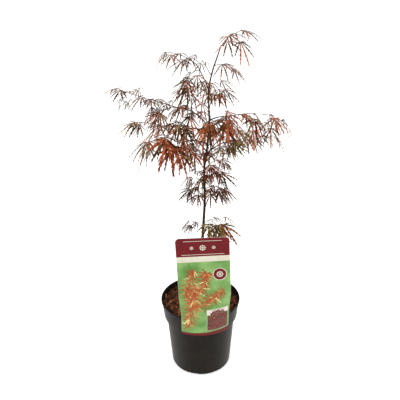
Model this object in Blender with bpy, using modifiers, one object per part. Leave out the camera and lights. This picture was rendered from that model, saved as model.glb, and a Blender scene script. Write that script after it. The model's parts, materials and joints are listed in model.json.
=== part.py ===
"""Young weeping cut-leaf maple in its round nursery pot, with a blank-backed plant label on the rim.

Metres, +Z up. The origin is the centre of the pot's flat underside, and -Y is the label's side.
Sizes are written in millimetres and turned into metres by MM. The crown follows one rule: a limb is
a tapering tube from its parent to a named tip, and a foliage mass is a thin stem that carries
opposite pairs of seven-lobed leaves, each pair turned a quarter turn on from the last.
"""

import math
import random
from dataclasses import dataclass

import bmesh
import bpy
import numpy as np
from mathutils.bvhtree import BVHTree

MM = 0.001
GAP = 0.3  # clearance between pieces that touch, mm
UP = np.array((0.0, 0.0, 1.0))

# Pot, mm
POT_HEIGHT = 180.0
RIM_RADIUS = 95.0
COLLAR_HEIGHT = 44.5
COLLAR_FOOT_RADIUS = 88.5
BODY_TOP_RADIUS = 82.2
BODY_FOOT_RADIUS = 72.4
BASE_ROUNDING = 7.0
WALL = 2.2
FOOT_WALL = 3.2
FLOOR_THICKNESS = 5.5
STEP_DEPTH = 2.5
STEP_CHAMFER = 1.0
RIM_ROUNDING = 0.9
POT_SEGMENTS = 32
NOTCH_COUNT = 8
NOTCH_SIZE = (12.0, 24.0, 7.0)
NOTCH_TURN = math.radians(-106.0)

# Potting mix, mm
SOIL_TOP = 170.5
SOIL_EDGE_DROP = 2.5
SOIL_FLAT_RADIUS = 34.0

# Label card, mm
LABEL_WIDTH = 117.0
LABEL_TOP = 389.0
LABEL_FOOT = 133.0
LABEL_THICKNESS = 0.6
LABEL_CLEARANCE = 0.4
LABEL_CORNER = 9.0
LABEL_TURN = math.radians(8.0)
LABEL_TWIST = math.radians(-4.7)
LABEL_LEAN_BACK = 7.8
LABEL_FLATTENING = 95.0
LABEL_STEPS = (LABEL_FOOT, POT_HEIGHT, 205, 228, 252, 275, LABEL_TOP - LABEL_CORNER,
               LABEL_TOP - 0.3 * LABEL_CORNER, LABEL_TOP)
LABEL_COLUMNS = 10
STRAIGHT = 1e-7  # the least curvature, so that a flat card has a radius too

# The tongue behind the label that hooks over the rim, mm: heights are from the rim
TONGUE_WIDTH = 16.0
TONGUE_DEPTH = 7.0
TONGUE_THICKNESS = 0.8
TONGUE_CLEARANCE = 0.8
TONGUE_SINK = 0.1
TONGUE_SLANT = 0.9
TONGUE_ROOT = (6.5, 5.4)
TONGUE_BEND = (1.9, 1.0)

# Trunk, mm: the line that its axis takes, its radii up from the soil, and the spurs of its root flare
TRUNK_FOOT = SOIL_TOP + GAP
TRUNK_LINE = (
    (1, 0, TRUNK_FOOT),
    (4, -1, 250),
    (7, -2, 346),
    (12, -3, 431),
    (12, -2, 486),
    (12, 0, 516),
    (18, 1, 558),
    (23, 2, 614),
    (22, 2, 656),
    (23, 1, 691),
    (30, -1, 724),
    (38, -2, 748),
    (46, -3, 771),
)
FLARE_RADII = ((6, 5.4), (18, 4.9), (34, 5.5), (46, 5.3), (60, 4.0))
TRUNK_RADII = ((0, 6.6), *FLARE_RADII, (170, 3.2), (300, 2.5), (450, 1.9), (560, 1.5), (605, 1.1))
TRUNK_SAMPLES = 20
SPUR_TURNS = (20, 95, 170, 235, 310)
SPUR_LINE = ((2.5, 13.0), (6.5, 4.55), (10.5, -2.0))  # out from the axis and up from the soil
SPUR_RADII = (1.6, 2.6, 2.6)

# A leaf: lengths are shares of its size, which is the length of its middle lobe
FULL_LOBES = 3
FAN_STEP = math.radians(31.0)
LOBE_LENGTHS = (1.0, 0.92, 0.74, 0.42)  # from the middle lobe out
LOBE_HALF_WIDTH = 0.053
WIDEST_AT = 0.46  # of the lobe's length
TIP_AT = 0.93
WIDEST_DROOP = 0.07
TIP_DROOP = 0.32
HIND_DROOP = 0.2
NOTCH_AT = 0.10
HIND_NOTCH_AT = 0.03
LEAF_HALF_THICKNESS = 0.011
PETIOLE_RADIUS = 0.36  # mm
PETIOLE_SHARE = 0.42

# How leaves sit on a stem: shares of its length, degrees round it, and the play in each seat
LAST_PAIR_AT = 0.93
ONLY_PAIR_AT = 0.55
LAST_LEAF_AT = 0.95
PAIR_TURN = 90
TURN_PLAY = 25
RETRY_TURN = 12
LEAF_TRIES = 20
LEAF_CLEARANCE = 0.5  # mm
UPPER_AHEAD = 0.45  # a leaf on top of the stem leans ahead and down by these
UPPER_DOWN = 0.85
LAST_LEAN = 0.15  # radians off the stem's line
LEAN_PLAY = (0.75, 1.1)
SIZE_PLAY = (0.85, 1.1)
LAST_SIZE = 1.08
STALK_PLAY = (0.7, 1.1)
STALK_SAG = 0.3
HANG_PLAY = (0.75, 1.2)
TILT_PLAY = 0.5
HIGHEST_STALK = 0.4  # the most that a stalk climbs, and the least that a blade falls, as sines
HIGHEST_BLADE = -0.12
STEM_RADII = (0.85, 0.6)  # mm


@dataclass(frozen=True)
class Limb:
    """A bough: its parent and place on it, its tip, how far it arches over, and its end radii, mm.

    On the trunk the place is a height; on a bough it is the share of its length.
    """

    parent: str
    place: float
    tip: tuple
    arch: float
    foot_radius: float = 1.5
    tip_radius: float = 0.95


@dataclass(frozen=True)
class Mass:
    """A mass of foliage: where its stem starts and ends, its arch, its pairs of leaves and their look.

    size is the length of a leaf's middle lobe, hang is how far its leaves turn down, from 0 to 1,
    and turn is the angle of the first pair round the stem, in degrees.
    """

    parent: str
    place: float
    tip: tuple
    arch: float
    pairs: int
    size: float
    hang: float
    turn: float
    tint: str
    seed: int
    first: float = 0.35


BOUGHS = {
    "bough_top_left": Limb("trunk", 684, (-4, 20, 735), 4, 1.2, 0.8),
    "bough_left_arch": Limb("trunk", 605, (-30, 15, 642), 8),
    "bough_left_middle": Limb("trunk", 596, (-62, -48, 604), 10),
    "bough_left_front": Limb("trunk", 568, (-37, -78, 598), 6),
    "bough_right_upper": Limb("trunk", 620, (64, 17, 624), 3),
    "bough_right_level": Limb("trunk", 546, (86, 20, 570), 8),
    "bough_right_low": Limb("trunk", 526, (44, -35, 568), 2),
    "bough_back_left": Limb("trunk", 552, (-40, 65, 578), 8),
    "bough_back_right": Limb("trunk", 536, (58, 62, 564), 8),
}

MASSES = {
    "leaves_leader": Mass("trunk", 1.0, (75, -15, 799), 5, 3, 46, 0.24, 65, "rust", 51, 0.3),
    "leaves_leader_side": Mass("trunk", 735, (52, -12, 738), 1, 1, 44, 0.3, 0, "rust", 12),
    "leaves_leader_left": Mass("trunk", 714, (6, 3, 750), 1, 1, 33, 0.2, 0, "bronze", 13),
    "leaves_top_left": Mass("bough_top_left", 1.0, (-52, 34, 755), 4, 3, 46, 0.45, 30, "bronze", 14, 0.2),
    "leaves_top_left_low": Mass("bough_top_left", 0.7, (-16, -8, 718), 3, 2, 44, 0.6, 0, "bronze", 43),
    "leaves_top_middle": Mass("trunk", 672, (-12, -40, 702), 6, 2, 44, 0.5, 15, "bronze", 15),
    "leaves_top_dark": Mass("trunk", 646, (-9, -38, 674), 4, 1, 38, 0.3, 35, "burgundy", 46),
    "leaves_top_right": Mass("trunk", 696, (46, -32, 699), 5, 2, 42, 0.27, 60, "burgundy", 17),
    "leaves_top_back": Mass("trunk", 679, (14, 52, 692), 6, 1, 40, 0.5, 40, "bronze", 18),
    "leaves_left_long": Mass("bough_left_arch", 1.0, (-159, -20, 693), -1, 5, 38, 0.16, 10, "olive", 19, 0.25),
    "leaves_left_fall": Mass("bough_left_arch", 0.86, (-72, -30, 650), 6, 2, 48, 0.36, 70, "rust", 20),
    "leaves_left_under": Mass("bough_left_arch", 0.55, (-32, -24, 636), 3, 1, 42, 0.55, 0, "bronze", 44),
    "leaves_left_middle": Mass("bough_left_middle", 1.0, (-92, -80, 608), 4, 2, 50, 0.42, 35, "rust", 21),
    "leaves_left_side": Mass("bough_left_middle", 0.85, (-116, -46, 632), 5, 2, 44, 0.25, 80, "olive", 22),
    "leaves_left_red": Mass("bough_left_front", 1.0, (-54, -108, 618), 4, 2, 52, 0.55, 30, "rust", 23),
    "leaves_left_inner": Mass("trunk", 586, (-31, -46, 625), 5, 2, 44, 0.45, 30, "olive", 47),
    "leaves_centre_low": Mass("trunk", 534, (-14, -36, 572), 4, 2, 40, 0.5, 50, "burgundy", 25),
    "leaves_front": Mass("trunk", 608, (20, -66, 638), 8, 2, 44, 0.6, 10, "rust", 26),
    "leaves_right_red": Mass("trunk", 596, (58, -40, 634), 8, 3, 46, 0.42, 70, "rust", 27),
    "leaves_right_upper": Mass("bough_right_upper", 1.0, (156, -28, 637), 5, 5, 49, 0.52, 15, "bronze", 28, 0.15),
    "leaves_right_level": Mass("bough_right_level", 1.0, (160, 38, 572), 5, 3, 40, 0.4, 40, "olive", 29, 0.3),
    "leaves_right_inner": Mass("trunk", 559, (56, 26, 593), 5, 2, 42, 0.4, 20, "bronze", 30),
    "leaves_right_low": Mass("bough_right_low", 1.0, (66, -58, 593), 5, 2, 41, 0.2, 25, "olive", 31),
    "leaves_right_dark": Mass("trunk", 511, (38, -28, 543), 3, 1, 34, 0.45, 45, "burgundy", 32),
    "leaves_lower_right": Mass("trunk", 484, (35, -22, 508), 3, 1, 39, 0.35, 10, "burgundy", 33),
    "leaves_lower_right_low": Mass("trunk", 448, (44, -24, 472), 4, 2, 38, 0.4, 65, "rust", 34),
    "leaves_lower_left": Mass("trunk", 474, (-10, -13, 499), 3, 1, 33, 0.45, 30, "bronze", 35),
    "leaves_lower_left_low": Mass("trunk", 441, (-9, -22, 472), 4, 1, 36, 0.45, 75, "burgundy", 36),
    "leaves_foot_left": Mass("trunk", 370, (-15, -8, 390), 2, 0, 34, 0.5, 0, "bronze", 37),
    "leaves_foot_right": Mass("trunk", 380, (38, -22, 396), 5, 2, 46, 0.4, 30, "rust", 38),
    "leaves_back_left": Mass("bough_back_left", 1.0, (-84, 108, 578), 6, 2, 46, 0.5, 45, "bronze", 39),
    "leaves_back_right": Mass("bough_back_right", 1.0, (98, 104, 566), 6, 2, 46, 0.5, 15, "rust", 40),
    "leaves_back_middle": Mass("trunk", 516, (10, 84, 552), 10, 3, 44, 0.5, 70, "burgundy", 41),
    "leaves_back_high": Mass("trunk", 640, (36, 68, 662), 8, 2, 42, 0.5, 55, "rust", 48),
    "leaves_back_upper": Mass("trunk", 613, (-30, 78, 632), 9, 2, 42, 0.5, 15, "bronze", 49),
    "leaves_back_low": Mass("trunk", 454, (14, 50, 470), 5, 1, 36, 0.5, 20, "bronze", 42),
}

TINTS = {
    "rust": (0.42, 0.09, 0.04),
    "burgundy": (0.12, 0.02, 0.03),
    "bronze": (0.19, 0.07, 0.04),
    "olive": (0.18, 0.11, 0.04),
}


# ---------------------------------------------------------------- helpers


def clear_scene():
    """Remove every object of the startup scene."""
    for thing in list(bpy.data.objects):
        bpy.data.objects.remove(thing, do_unlink=True)


def new_collection(name, hidden=False):
    """Make a collection of the scene, left out of renders where hidden."""
    collection = bpy.data.collections.new(name)
    collection.hide_render = hidden
    bpy.context.scene.collection.children.link(collection)
    return collection


def finish(name, color, roughness):
    """Return a plain Principled BSDF material."""
    material = bpy.data.materials.new(name)
    material.use_nodes = True
    shader = material.node_tree.nodes["Principled BSDF"]
    shader.inputs["Base Color"].default_value = (*color, 1.0)
    shader.inputs["Roughness"].default_value = roughness
    shader.inputs["Metallic"].default_value = 0.0
    return material


def add_mesh(name, points, faces, collection, material=None):
    """Make an object from points in millimetres and faces that point outwards."""
    mesh = bpy.data.meshes.new(name)
    mesh.from_pydata([tuple(point) for point in np.asarray(points) * MM], [], faces)
    if material:
        mesh.materials.append(material)
    thing = bpy.data.objects.new(name, mesh)
    collection.objects.link(thing)
    return thing


def apply_modifiers(thing):
    """Replace an object's mesh by the one its modifiers give."""
    bpy.context.view_layer.update()
    graph = bpy.context.evaluated_depsgraph_get()
    mesh = bpy.data.meshes.new_from_object(thing.evaluated_get(graph))
    thing.modifiers.clear()
    thing.data = mesh


def unit(vector):
    """Return a vector at length 1."""
    return np.asarray(vector, float) / np.linalg.norm(vector)


def smooth_line(points, count):
    """Sample a Catmull-Rom curve through points, evenly in its parameter."""
    points = np.asarray(points, float)
    padded = np.vstack((2 * points[0] - points[1], points, 2 * points[-1] - points[-2]))
    spots = np.linspace(0, len(points) - 1 - 1e-9, count)
    part = spots.astype(int)
    t = (spots - part)[:, None]
    before, start, end, after = (padded[part + step] for step in range(4))
    return 0.5 * (2 * start + (end - before) * t + (2 * before - 5 * start + 4 * end - after) * t**2
                  + (3 * start - before - 3 * end + after) * t**3)


# ---------------------------------------------------------------- pot, mix and label


def turned(name, profile, collection, material):
    """Turn a profile of (radius, height), which runs down its outer side, about the Z axis."""
    mesh = bpy.data.meshes.new(name)
    points = [(radius * MM, 0.0, height * MM) for radius, height in profile]
    mesh.from_pydata(points, [(i, i + 1) for i in range(len(points) - 1)], [])
    mesh.materials.append(material)
    thing = bpy.data.objects.new(name, mesh)
    collection.objects.link(thing)
    screw = thing.modifiers.new("turn", "SCREW")
    screw.steps = screw.render_steps = POT_SEGMENTS
    screw.use_merge_vertices = True
    screw.merge_threshold = 1e-5
    return thing


def inner_wall():
    """Return the pot's inner (radius, height) points, from the floor's edge up to the rim."""
    step = POT_HEIGHT - COLLAR_HEIGHT + WALL
    return [
        (BODY_FOOT_RADIUS - FOOT_WALL, FLOOR_THICKNESS),
        (BODY_TOP_RADIUS - WALL, step - STEP_DEPTH),
        (COLLAR_FOOT_RADIUS - WALL, step),
        (RIM_RADIUS - WALL, POT_HEIGHT - RIM_ROUNDING),
    ]


def build_pot(parts, cutters):
    """Turn the pot with its stepped collar, and cut the drainage notches round its foot."""
    collar_foot = POT_HEIGHT - COLLAR_HEIGHT
    bend = math.radians(45)
    profile = [(0, FLOOR_THICKNESS), *inner_wall()]
    profile += [
        (RIM_RADIUS - WALL + RIM_ROUNDING, POT_HEIGHT),
        (RIM_RADIUS - RIM_ROUNDING, POT_HEIGHT),
        (RIM_RADIUS, POT_HEIGHT - RIM_ROUNDING),
        (COLLAR_FOOT_RADIUS, collar_foot),
        (BODY_TOP_RADIUS, collar_foot - STEP_CHAMFER),
        (BODY_FOOT_RADIUS, BASE_ROUNDING),
        (BODY_FOOT_RADIUS - BASE_ROUNDING * (1 - math.cos(bend)), BASE_ROUNDING * (1 - math.sin(bend))),
        (BODY_FOOT_RADIUS - BASE_ROUNDING, 0),
        (0, 0),
    ]
    pot = turned("pot", profile, parts, finish("pot_plastic", (0.022, 0.021, 0.019), 0.55))
    for index in range(NOTCH_COUNT):
        turn = NOTCH_TURN + index * math.tau / NOTCH_COUNT
        bpy.ops.mesh.primitive_cube_add(size=1.0)
        box = bpy.context.object
        box.name = f"notch_{index + 1}"
        box.scale = [side * MM for side in NOTCH_SIZE]
        box.location = (BODY_FOOT_RADIUS * MM * math.cos(turn), BODY_FOOT_RADIUS * MM * math.sin(turn), 0)
        box.rotation_euler.z = turn
        box.display_type = "WIRE"
        box.hide_render = True
        box.users_collection[0].objects.unlink(box)
        cutters.objects.link(box)
    cut = pot.modifiers.new("notches", "BOOLEAN")
    cut.operation = "DIFFERENCE"
    cut.operand_type = "COLLECTION"
    cut.collection = cutters
    cut.solver = "EXACT"
    return pot


def build_soil(parts):
    """Turn the potting mix that fills the pot, level round the trunk and lower at the wall."""
    floor, *wall = inner_wall()
    edge = SOIL_TOP - SOIL_EDGE_DROP
    slope = (wall[2][0] - wall[1][0]) / (wall[2][1] - wall[1][1])
    edge_radius = wall[1][0] + slope * (edge - wall[1][1])
    profile = [
        (0, SOIL_TOP),
        (SOIL_FLAT_RADIUS, SOIL_TOP),
        (edge_radius - GAP, edge),
        (wall[1][0] - GAP, wall[1][1]),
        (wall[0][0] - GAP, wall[0][1]),
        (floor[0] - GAP, floor[1] + GAP),
        (0, floor[1] + GAP),
    ]
    return turned("soil", profile, parts, finish("potting_mix", (0.06, 0.022, 0.013), 0.95))


def card_point(across, height, out=0.0):
    """Return the point of the card at a distance across it and a height, moved outwards by out.

    At the rim and below it the card follows the collar. Above, its curve fades smoothly to flat,
    while it leans back a little and turns about the pot's axis.
    """
    over = max(0.0, height - POT_HEIGHT)
    under = max(0.0, POT_HEIGHT - height)
    fade = min(1.0, over / LABEL_FLATTENING)
    rim = RIM_RADIUS + LABEL_CLEARANCE
    bend = (1 - fade * fade * (3 - 2 * fade)) / rim + STRAIGHT
    reach = rim - under * (RIM_RADIUS - COLLAR_FOOT_RADIUS) / COLLAR_HEIGHT
    share = over / (LABEL_TOP - POT_HEIGHT)
    reach -= LABEL_LEAN_BACK * share
    side = math.sin(bend * across) / bend + out * math.sin(bend * across)
    ahead = reach + (math.cos(bend * across) - 1) / bend + out * math.cos(bend * across)
    turn = LABEL_TURN + LABEL_TWIST * share
    return (
        ahead * math.sin(turn) + side * math.cos(turn),
        -ahead * math.cos(turn) + side * math.sin(turn),
        height,
    )


def build_label(parts):
    """Bend the card round the collar, round its top corners, and hook its tongue over the rim."""
    columns = LABEL_COLUMNS
    points = []
    for height in LABEL_STEPS:
        into_corner = max(0.0, height - (LABEL_TOP - LABEL_CORNER))
        half = LABEL_WIDTH / 2 - LABEL_CORNER + math.sqrt(LABEL_CORNER**2 - into_corner**2)
        points += [card_point(half * (2 * i / (columns - 1) - 1), height) for i in range(columns)]
    faces = []
    for row in range(len(LABEL_STEPS) - 1):
        for column in range(columns - 1):
            first = row * columns + column
            faces.append((first, first + 1, first + columns + 1, first + columns))
    label = add_mesh("plant_label", points, faces, parts, finish("label_card", (0.2, 0.32, 0.1), 0.45))
    thicken = label.modifiers.new("thickness", "SOLIDIFY")
    thicken.thickness = LABEL_THICKNESS * MM
    thicken.offset = 1.0
    card = RIM_RADIUS + LABEL_CLEARANCE + TONGUE_SINK
    inside = RIM_RADIUS - WALL - TONGUE_CLEARANCE
    hook = [
        (card, POT_HEIGHT + TONGUE_ROOT[0]),
        (inside - TONGUE_THICKNESS, POT_HEIGHT + TONGUE_BEND[0]),
        (inside - TONGUE_THICKNESS - TONGUE_SLANT, POT_HEIGHT - TONGUE_DEPTH),
        (inside - TONGUE_SLANT, POT_HEIGHT - TONGUE_DEPTH),
        (inside, POT_HEIGHT + TONGUE_BEND[1]),
        (card, POT_HEIGHT + TONGUE_ROOT[1]),
    ]
    tongue = []
    for side in (-TONGUE_WIDTH / 2, TONGUE_WIDTH / 2):
        for ahead, height in hook:
            tongue.append((ahead * math.sin(LABEL_TURN) + side * math.cos(LABEL_TURN),
                           -ahead * math.cos(LABEL_TURN) + side * math.sin(LABEL_TURN), height))
    count = len(hook)
    sides = [(i, (i + 1) % count, count + (i + 1) % count, count + i) for i in range(count)]
    ends = [tuple(range(count))[::-1], tuple(range(count, 2 * count))]
    strip = add_mesh("tongue", tongue, sides + ends, parts)
    apply_modifiers(label)
    fuse(label, [strip])
    return label


# ---------------------------------------------------------------- joining


def outward(thing):
    """Turn a closed mesh's faces outwards."""
    work = bmesh.new()
    work.from_mesh(thing.data)
    bmesh.ops.recalc_face_normals(work, faces=work.faces)
    work.to_mesh(thing.data)
    work.free()


def largest_shell(thing):
    """Keep only the outer shell: loose scraps and the walls of sealed hollows are dropped."""
    work = bmesh.new()
    work.from_mesh(thing.data)
    left = set(work.verts)
    shells = []
    while left:
        shell = {left.pop()}
        edge = list(shell)
        while edge:
            near = {link.other_vert(vert) for vert in edge for link in vert.link_edges} & left
            left -= near
            shell |= near
            edge = list(near)
        shells.append(shell)
    shells.sort(key=lambda shell: max(v.co.x for v in shell) - min(v.co.x for v in shell)
                + max(v.co.z for v in shell) - min(v.co.z for v in shell))
    scraps = [vert for shell in shells[:-1] for vert in shell]
    bmesh.ops.delete(work, geom=scraps, context="VERTS")
    work.to_mesh(thing.data)
    work.free()


def fuse(thing, others):
    """Join other objects to this one with one Boolean union on a collection, and remove them."""
    group = new_collection(f"{thing.name}_joined", hidden=True)
    for other in [thing, *others]:
        outward(other)
    for other in others:
        for holder in other.users_collection:
            holder.objects.unlink(other)
        group.objects.link(other)
    join = thing.modifiers.new("join", "BOOLEAN")
    join.operation = "UNION"
    join.operand_type = "COLLECTION"
    join.collection = group
    join.solver = "MANIFOLD"
    apply_modifiers(thing)
    for other in list(group.objects):
        bpy.data.objects.remove(other, do_unlink=True)
    bpy.data.collections.remove(group)
    largest_shell(thing)


# ---------------------------------------------------------------- limbs


class Route:
    """A limb's axis as a line of points with a radius at each, mm."""

    def __init__(self, points, radii):
        """Keep the points and radii, and the share of the length at each point."""
        self.points = np.asarray(points, float)
        self.radii = np.asarray(radii, float)
        steps = np.linalg.norm(np.diff(self.points, axis=0), axis=1)
        self.length = steps.sum()
        self.shares = np.concatenate(([0.0], np.cumsum(steps))) / self.length

    def at(self, share):
        """Return the point, direction and radius at a share of the length."""
        point = np.array([np.interp(share, self.shares, self.points[:, axis]) for axis in range(3)])
        low, high = max(0.0, share - 0.02), min(1.0, share + 0.02)
        ends = [[np.interp(s, self.shares, self.points[:, axis]) for axis in range(3)] for s in (low, high)]
        return point, unit(np.subtract(ends[1], ends[0])), np.interp(share, self.shares, self.radii)

    def share_at_height(self, height):
        """Return the share of the length at a height, on a line that only climbs."""
        return float(np.interp(height, self.points[:, 2], self.shares))


def trunk_route():
    """Return the trunk's axis and radii."""
    points = smooth_line(TRUNK_LINE, TRUNK_SAMPLES)
    low = [TRUNK_FOOT + rise for rise, _ in FLARE_RADII]
    heights = np.sort(np.concatenate((points[:, 2], low)))
    points = np.stack([np.interp(heights, points[:, 2], points[:, axis]) for axis in range(3)], axis=1)
    rises, radii = zip(*TRUNK_RADII)
    return Route(points, np.interp(points[:, 2] - TRUNK_FOOT, rises, radii))


def branch_route(parent, item, foot_radius, tip_radius, samples):
    """Return the axis of a limb that starts GAP clear of its parent's skin and arches to its tip.

    The axis is the straight line to the tip, lifted by arch in the shape of a parabola.
    """
    share = item.place if item.place <= 1 else parent.share_at_height(item.place)
    start, along, parent_radius = parent.at(share)
    tip = np.asarray(item.tip, float)
    heading = unit(tip - start + 4 * item.arch * UP)
    if share == 1.0:
        tilt = math.acos(min(1.0, abs(float(heading @ along))))
        clear = (GAP + foot_radius * math.sin(tilt)) / math.cos(tilt)
    else:
        square = np.linalg.norm(np.cross(heading, along))
        clear = (parent_radius + GAP + foot_radius * abs(float(heading @ along))) / square
    start = start + heading * clear
    t = np.linspace(0, 1, samples)[:, None]
    points = start + (tip - start) * t + 4 * item.arch * t * (1 - t) * UP
    return Route(points, np.linspace(foot_radius, tip_radius, samples))


def tube(name, route, collection, material, resolution):
    """Make a round tapering tube along a route as a curve, and turn it into a mesh."""
    curve = bpy.data.curves.new(name, "CURVE")
    curve.dimensions = "3D"
    curve.bevel_depth = MM
    curve.bevel_resolution = resolution
    curve.use_fill_caps = True
    line = curve.splines.new("POLY")
    line.points.add(len(route.points) - 1)
    for spot, point, radius in zip(line.points, route.points, route.radii):
        spot.co = (*(point * MM), 1.0)
        spot.radius = radius
    guide = bpy.data.objects.new(name + "_line", curve)
    collection.objects.link(guide)
    bpy.context.view_layer.update()
    graph = bpy.context.evaluated_depsgraph_get()
    mesh = bpy.data.meshes.new_from_object(guide.evaluated_get(graph))
    bpy.data.objects.remove(guide, do_unlink=True)
    work = bmesh.new()
    work.from_mesh(mesh)
    bmesh.ops.remove_doubles(work, verts=work.verts, dist=1e-6)
    bmesh.ops.recalc_face_normals(work, faces=work.faces)
    work.to_mesh(mesh)
    work.free()
    mesh.materials.clear()
    mesh.materials.append(material)
    mesh.shade_smooth()
    thing = bpy.data.objects.new(name, mesh)
    collection.objects.link(thing)
    return thing


def build_trunk(parts, bark):
    """Make the trunk with its root flare, cut flat where it meets the potting mix."""
    route = trunk_route()
    trunk = tube("trunk", route, parts, bark, 2)
    spurs = []
    for index, turn in enumerate(SPUR_TURNS):
        out = np.array((math.cos(math.radians(turn)), math.sin(math.radians(turn)), 0.0))
        foot = route.points[0]
        line = [foot + reach * out + rise * UP for reach, rise in SPUR_LINE]
        spurs.append(tube(f"spur_{index + 1}", Route(line, SPUR_RADII), parts, bark, 1))
    fuse(trunk, spurs)
    work = bmesh.new()
    work.from_mesh(trunk.data)
    cut = bmesh.ops.bisect_plane(work, geom=work.verts[:] + work.edges[:] + work.faces[:], dist=1e-7,
                                 plane_co=(0, 0, TRUNK_FOOT * MM), plane_no=(0, 0, -1), clear_outer=True)
    rim = [edge for edge in cut["geom_cut"] if isinstance(edge, bmesh.types.BMEdge)]
    bmesh.ops.contextual_create(work, geom=rim)
    bmesh.ops.recalc_face_normals(work, faces=work.faces)
    work.to_mesh(trunk.data)
    work.free()
    return route


# ---------------------------------------------------------------- foliage


def twig_shape(route):
    """Return the points and faces of a three-sided twig along a route."""
    tangent = np.gradient(route.points, axis=0)
    tangent /= np.linalg.norm(tangent, axis=1)[:, None]
    side = np.cross(tangent, UP)
    side /= np.linalg.norm(side, axis=1)[:, None]
    over = np.cross(side, tangent)
    rings = []
    for turn in (90, 210, 330):
        angle = math.radians(turn)
        rings.append(route.points + route.radii[:, None] * (math.cos(angle) * side + math.sin(angle) * over))
    points = np.stack(rings, axis=1).reshape(-1, 3)
    count = len(route.points)
    faces = [(0, 1, 2), tuple(3 * count - 3 + i for i in (2, 1, 0))]
    for ring in range(count - 1):
        for i in range(3):
            a, b = 3 * ring + i, 3 * ring + (i + 1) % 3
            faces.append((a, a + 3, b + 3, b))
    return points, faces


def leaf_shape(root, hub, forward, normal, size, grow=0.0):
    """Return the points and faces of a seven-lobed leaf with its stalk, as one closed shell.

    The lobes fan out from the hub. Each full lobe is a ridge with a flat back that is widest half
    way and bends down towards its tip. The two hindmost lobes are plain points. grow widens all.
    """
    side = np.cross(normal, forward)
    lobes = len(LOBE_LENGTHS) * 2 - 1
    half = LEAF_HALF_THICKNESS * size + grow
    points = [hub + normal * half, hub - normal * half]

    def spoke(angle, reach, drop):
        """Return the point at an angle and reach from the hub, let down by drop."""
        return hub + reach * (math.cos(angle) * forward + math.sin(angle) * side) - drop * UP

    for cleft in range(lobes + 1):
        outer = cleft in (0, lobes)
        reach = (HIND_NOTCH_AT if outer else NOTCH_AT) * size + grow
        points.append(spoke((cleft - lobes / 2) * FAN_STEP, reach, 0.0))
    top, back, first = 0, 1, 2
    faces = [(top, first + lobes, first)]
    for lobe in range(lobes):
        rank = abs(lobe - lobes // 2)
        angle = (lobe - lobes // 2) * FAN_STEP
        length = LOBE_LENGTHS[rank] * size
        low, high = first + lobe, first + lobe + 1
        start = len(points)
        if rank > FULL_LOBES // 2:
            points.append(spoke(angle, length + grow, HIND_DROOP * length))
            faces += [(top, low, start), (top, start, high), (back, start, low), (back, high, start)]
            continue
        across = (math.cos(angle + math.pi / 2) * forward + math.sin(angle + math.pi / 2) * side)
        middle = spoke(angle, WIDEST_AT * length, WIDEST_DROOP * length)
        width = LOBE_HALF_WIDTH * size + grow
        points += [middle - across * width, middle + normal * half, middle + across * width,
                   spoke(angle, TIP_AT * length + grow, TIP_DROOP * length)]
        less, ridge, more, tip = range(start, start + 4)
        faces += [(top, low, less), (top, less, ridge), (less, tip, ridge), (ridge, tip, more),
                  (top, ridge, more), (top, more, high)]
        faces += [(back, less, low), (back, more, less), (less, more, tip), (back, high, more)]
    along = unit(hub - root)
    flat = unit(np.cross(along, normal))
    start = len(points)
    over = np.cross(flat, along)
    for turn in (-90, 150, 30):
        angle = math.radians(turn)
        spread = math.sin(angle) * over - math.cos(angle) * flat
        points.append(root + (PETIOLE_RADIUS + grow) * spread)
    ring = (back, first, first + lobes)
    for i in range(3):
        j = (i + 1) % 3
        faces.append((ring[i], ring[j], start + j, start + i))
    faces.append((start, start + 1, start + 2))
    return points, faces


def leaf_places(mass):
    """Yield the seats of a mass's leaves: share along the stem, turn round it, and whether last."""
    spacing = (LAST_PAIR_AT - mass.first) / max(1, mass.pairs - 1)
    for pair in range(mass.pairs):
        share = mass.first + spacing * pair if mass.pairs > 1 else ONLY_PAIR_AT
        for side in (0, 180):
            yield share, mass.turn + PAIR_TURN * pair + side, False
    yield LAST_LEAF_AT, mass.turn, True


def leaf_seat(mass, route, share, turn, last, luck):
    """Return the root, hub, forward and normal of a leaf, with a seeded variation."""
    root, along, _ = route.at(share)
    level = unit(np.cross(UP, along))
    over = np.cross(along, level)
    angle = math.radians(turn + luck.uniform(-TURN_PLAY, TURN_PLAY))
    out = math.cos(angle) * level + math.sin(angle) * over
    rise = max(0.0, float(out @ UP))
    out = unit(out + rise * (UPPER_AHEAD * along - UPPER_DOWN * UP))
    lean = LAST_LEAN if last else luck.uniform(*LEAN_PLAY)
    heading = math.cos(lean) * along + math.sin(lean) * out
    heading[2] = min(heading[2], HIGHEST_STALK)
    heading = unit(heading)
    size = mass.size * luck.uniform(*SIZE_PLAY) * (LAST_SIZE if last else 1.0)
    stalk = PETIOLE_SHARE * size * luck.uniform(*STALK_PLAY)
    hub = root + stalk * unit(heading - STALK_SAG * mass.hang * UP)
    hang = mass.hang * luck.uniform(*HANG_PLAY)
    forward = (1 - hang) * heading - hang * UP
    forward[2] = min(forward[2], HIGHEST_BLADE)
    forward = unit(forward)
    normal = unit(UP - (UP @ forward) * forward)
    normal = unit(normal + luck.uniform(-TILT_PLAY, TILT_PLAY) * np.cross(forward, normal))
    return root, hub, forward, normal, size


def tree_of(points, faces):
    """Return a search tree of a mesh in millimetres."""
    return BVHTree.FromPolygons([tuple(p) for p in points], faces, all_triangles=False, epsilon=0.0)


def tree_of_object(thing):
    """Return a search tree of an object as its modifiers leave it, in millimetres."""
    bpy.context.view_layer.update()
    mesh = thing.evaluated_get(bpy.context.evaluated_depsgraph_get()).to_mesh()
    return tree_of([tuple(v.co / MM) for v in mesh.vertices], [tuple(p.vertices) for p in mesh.polygons])


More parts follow.
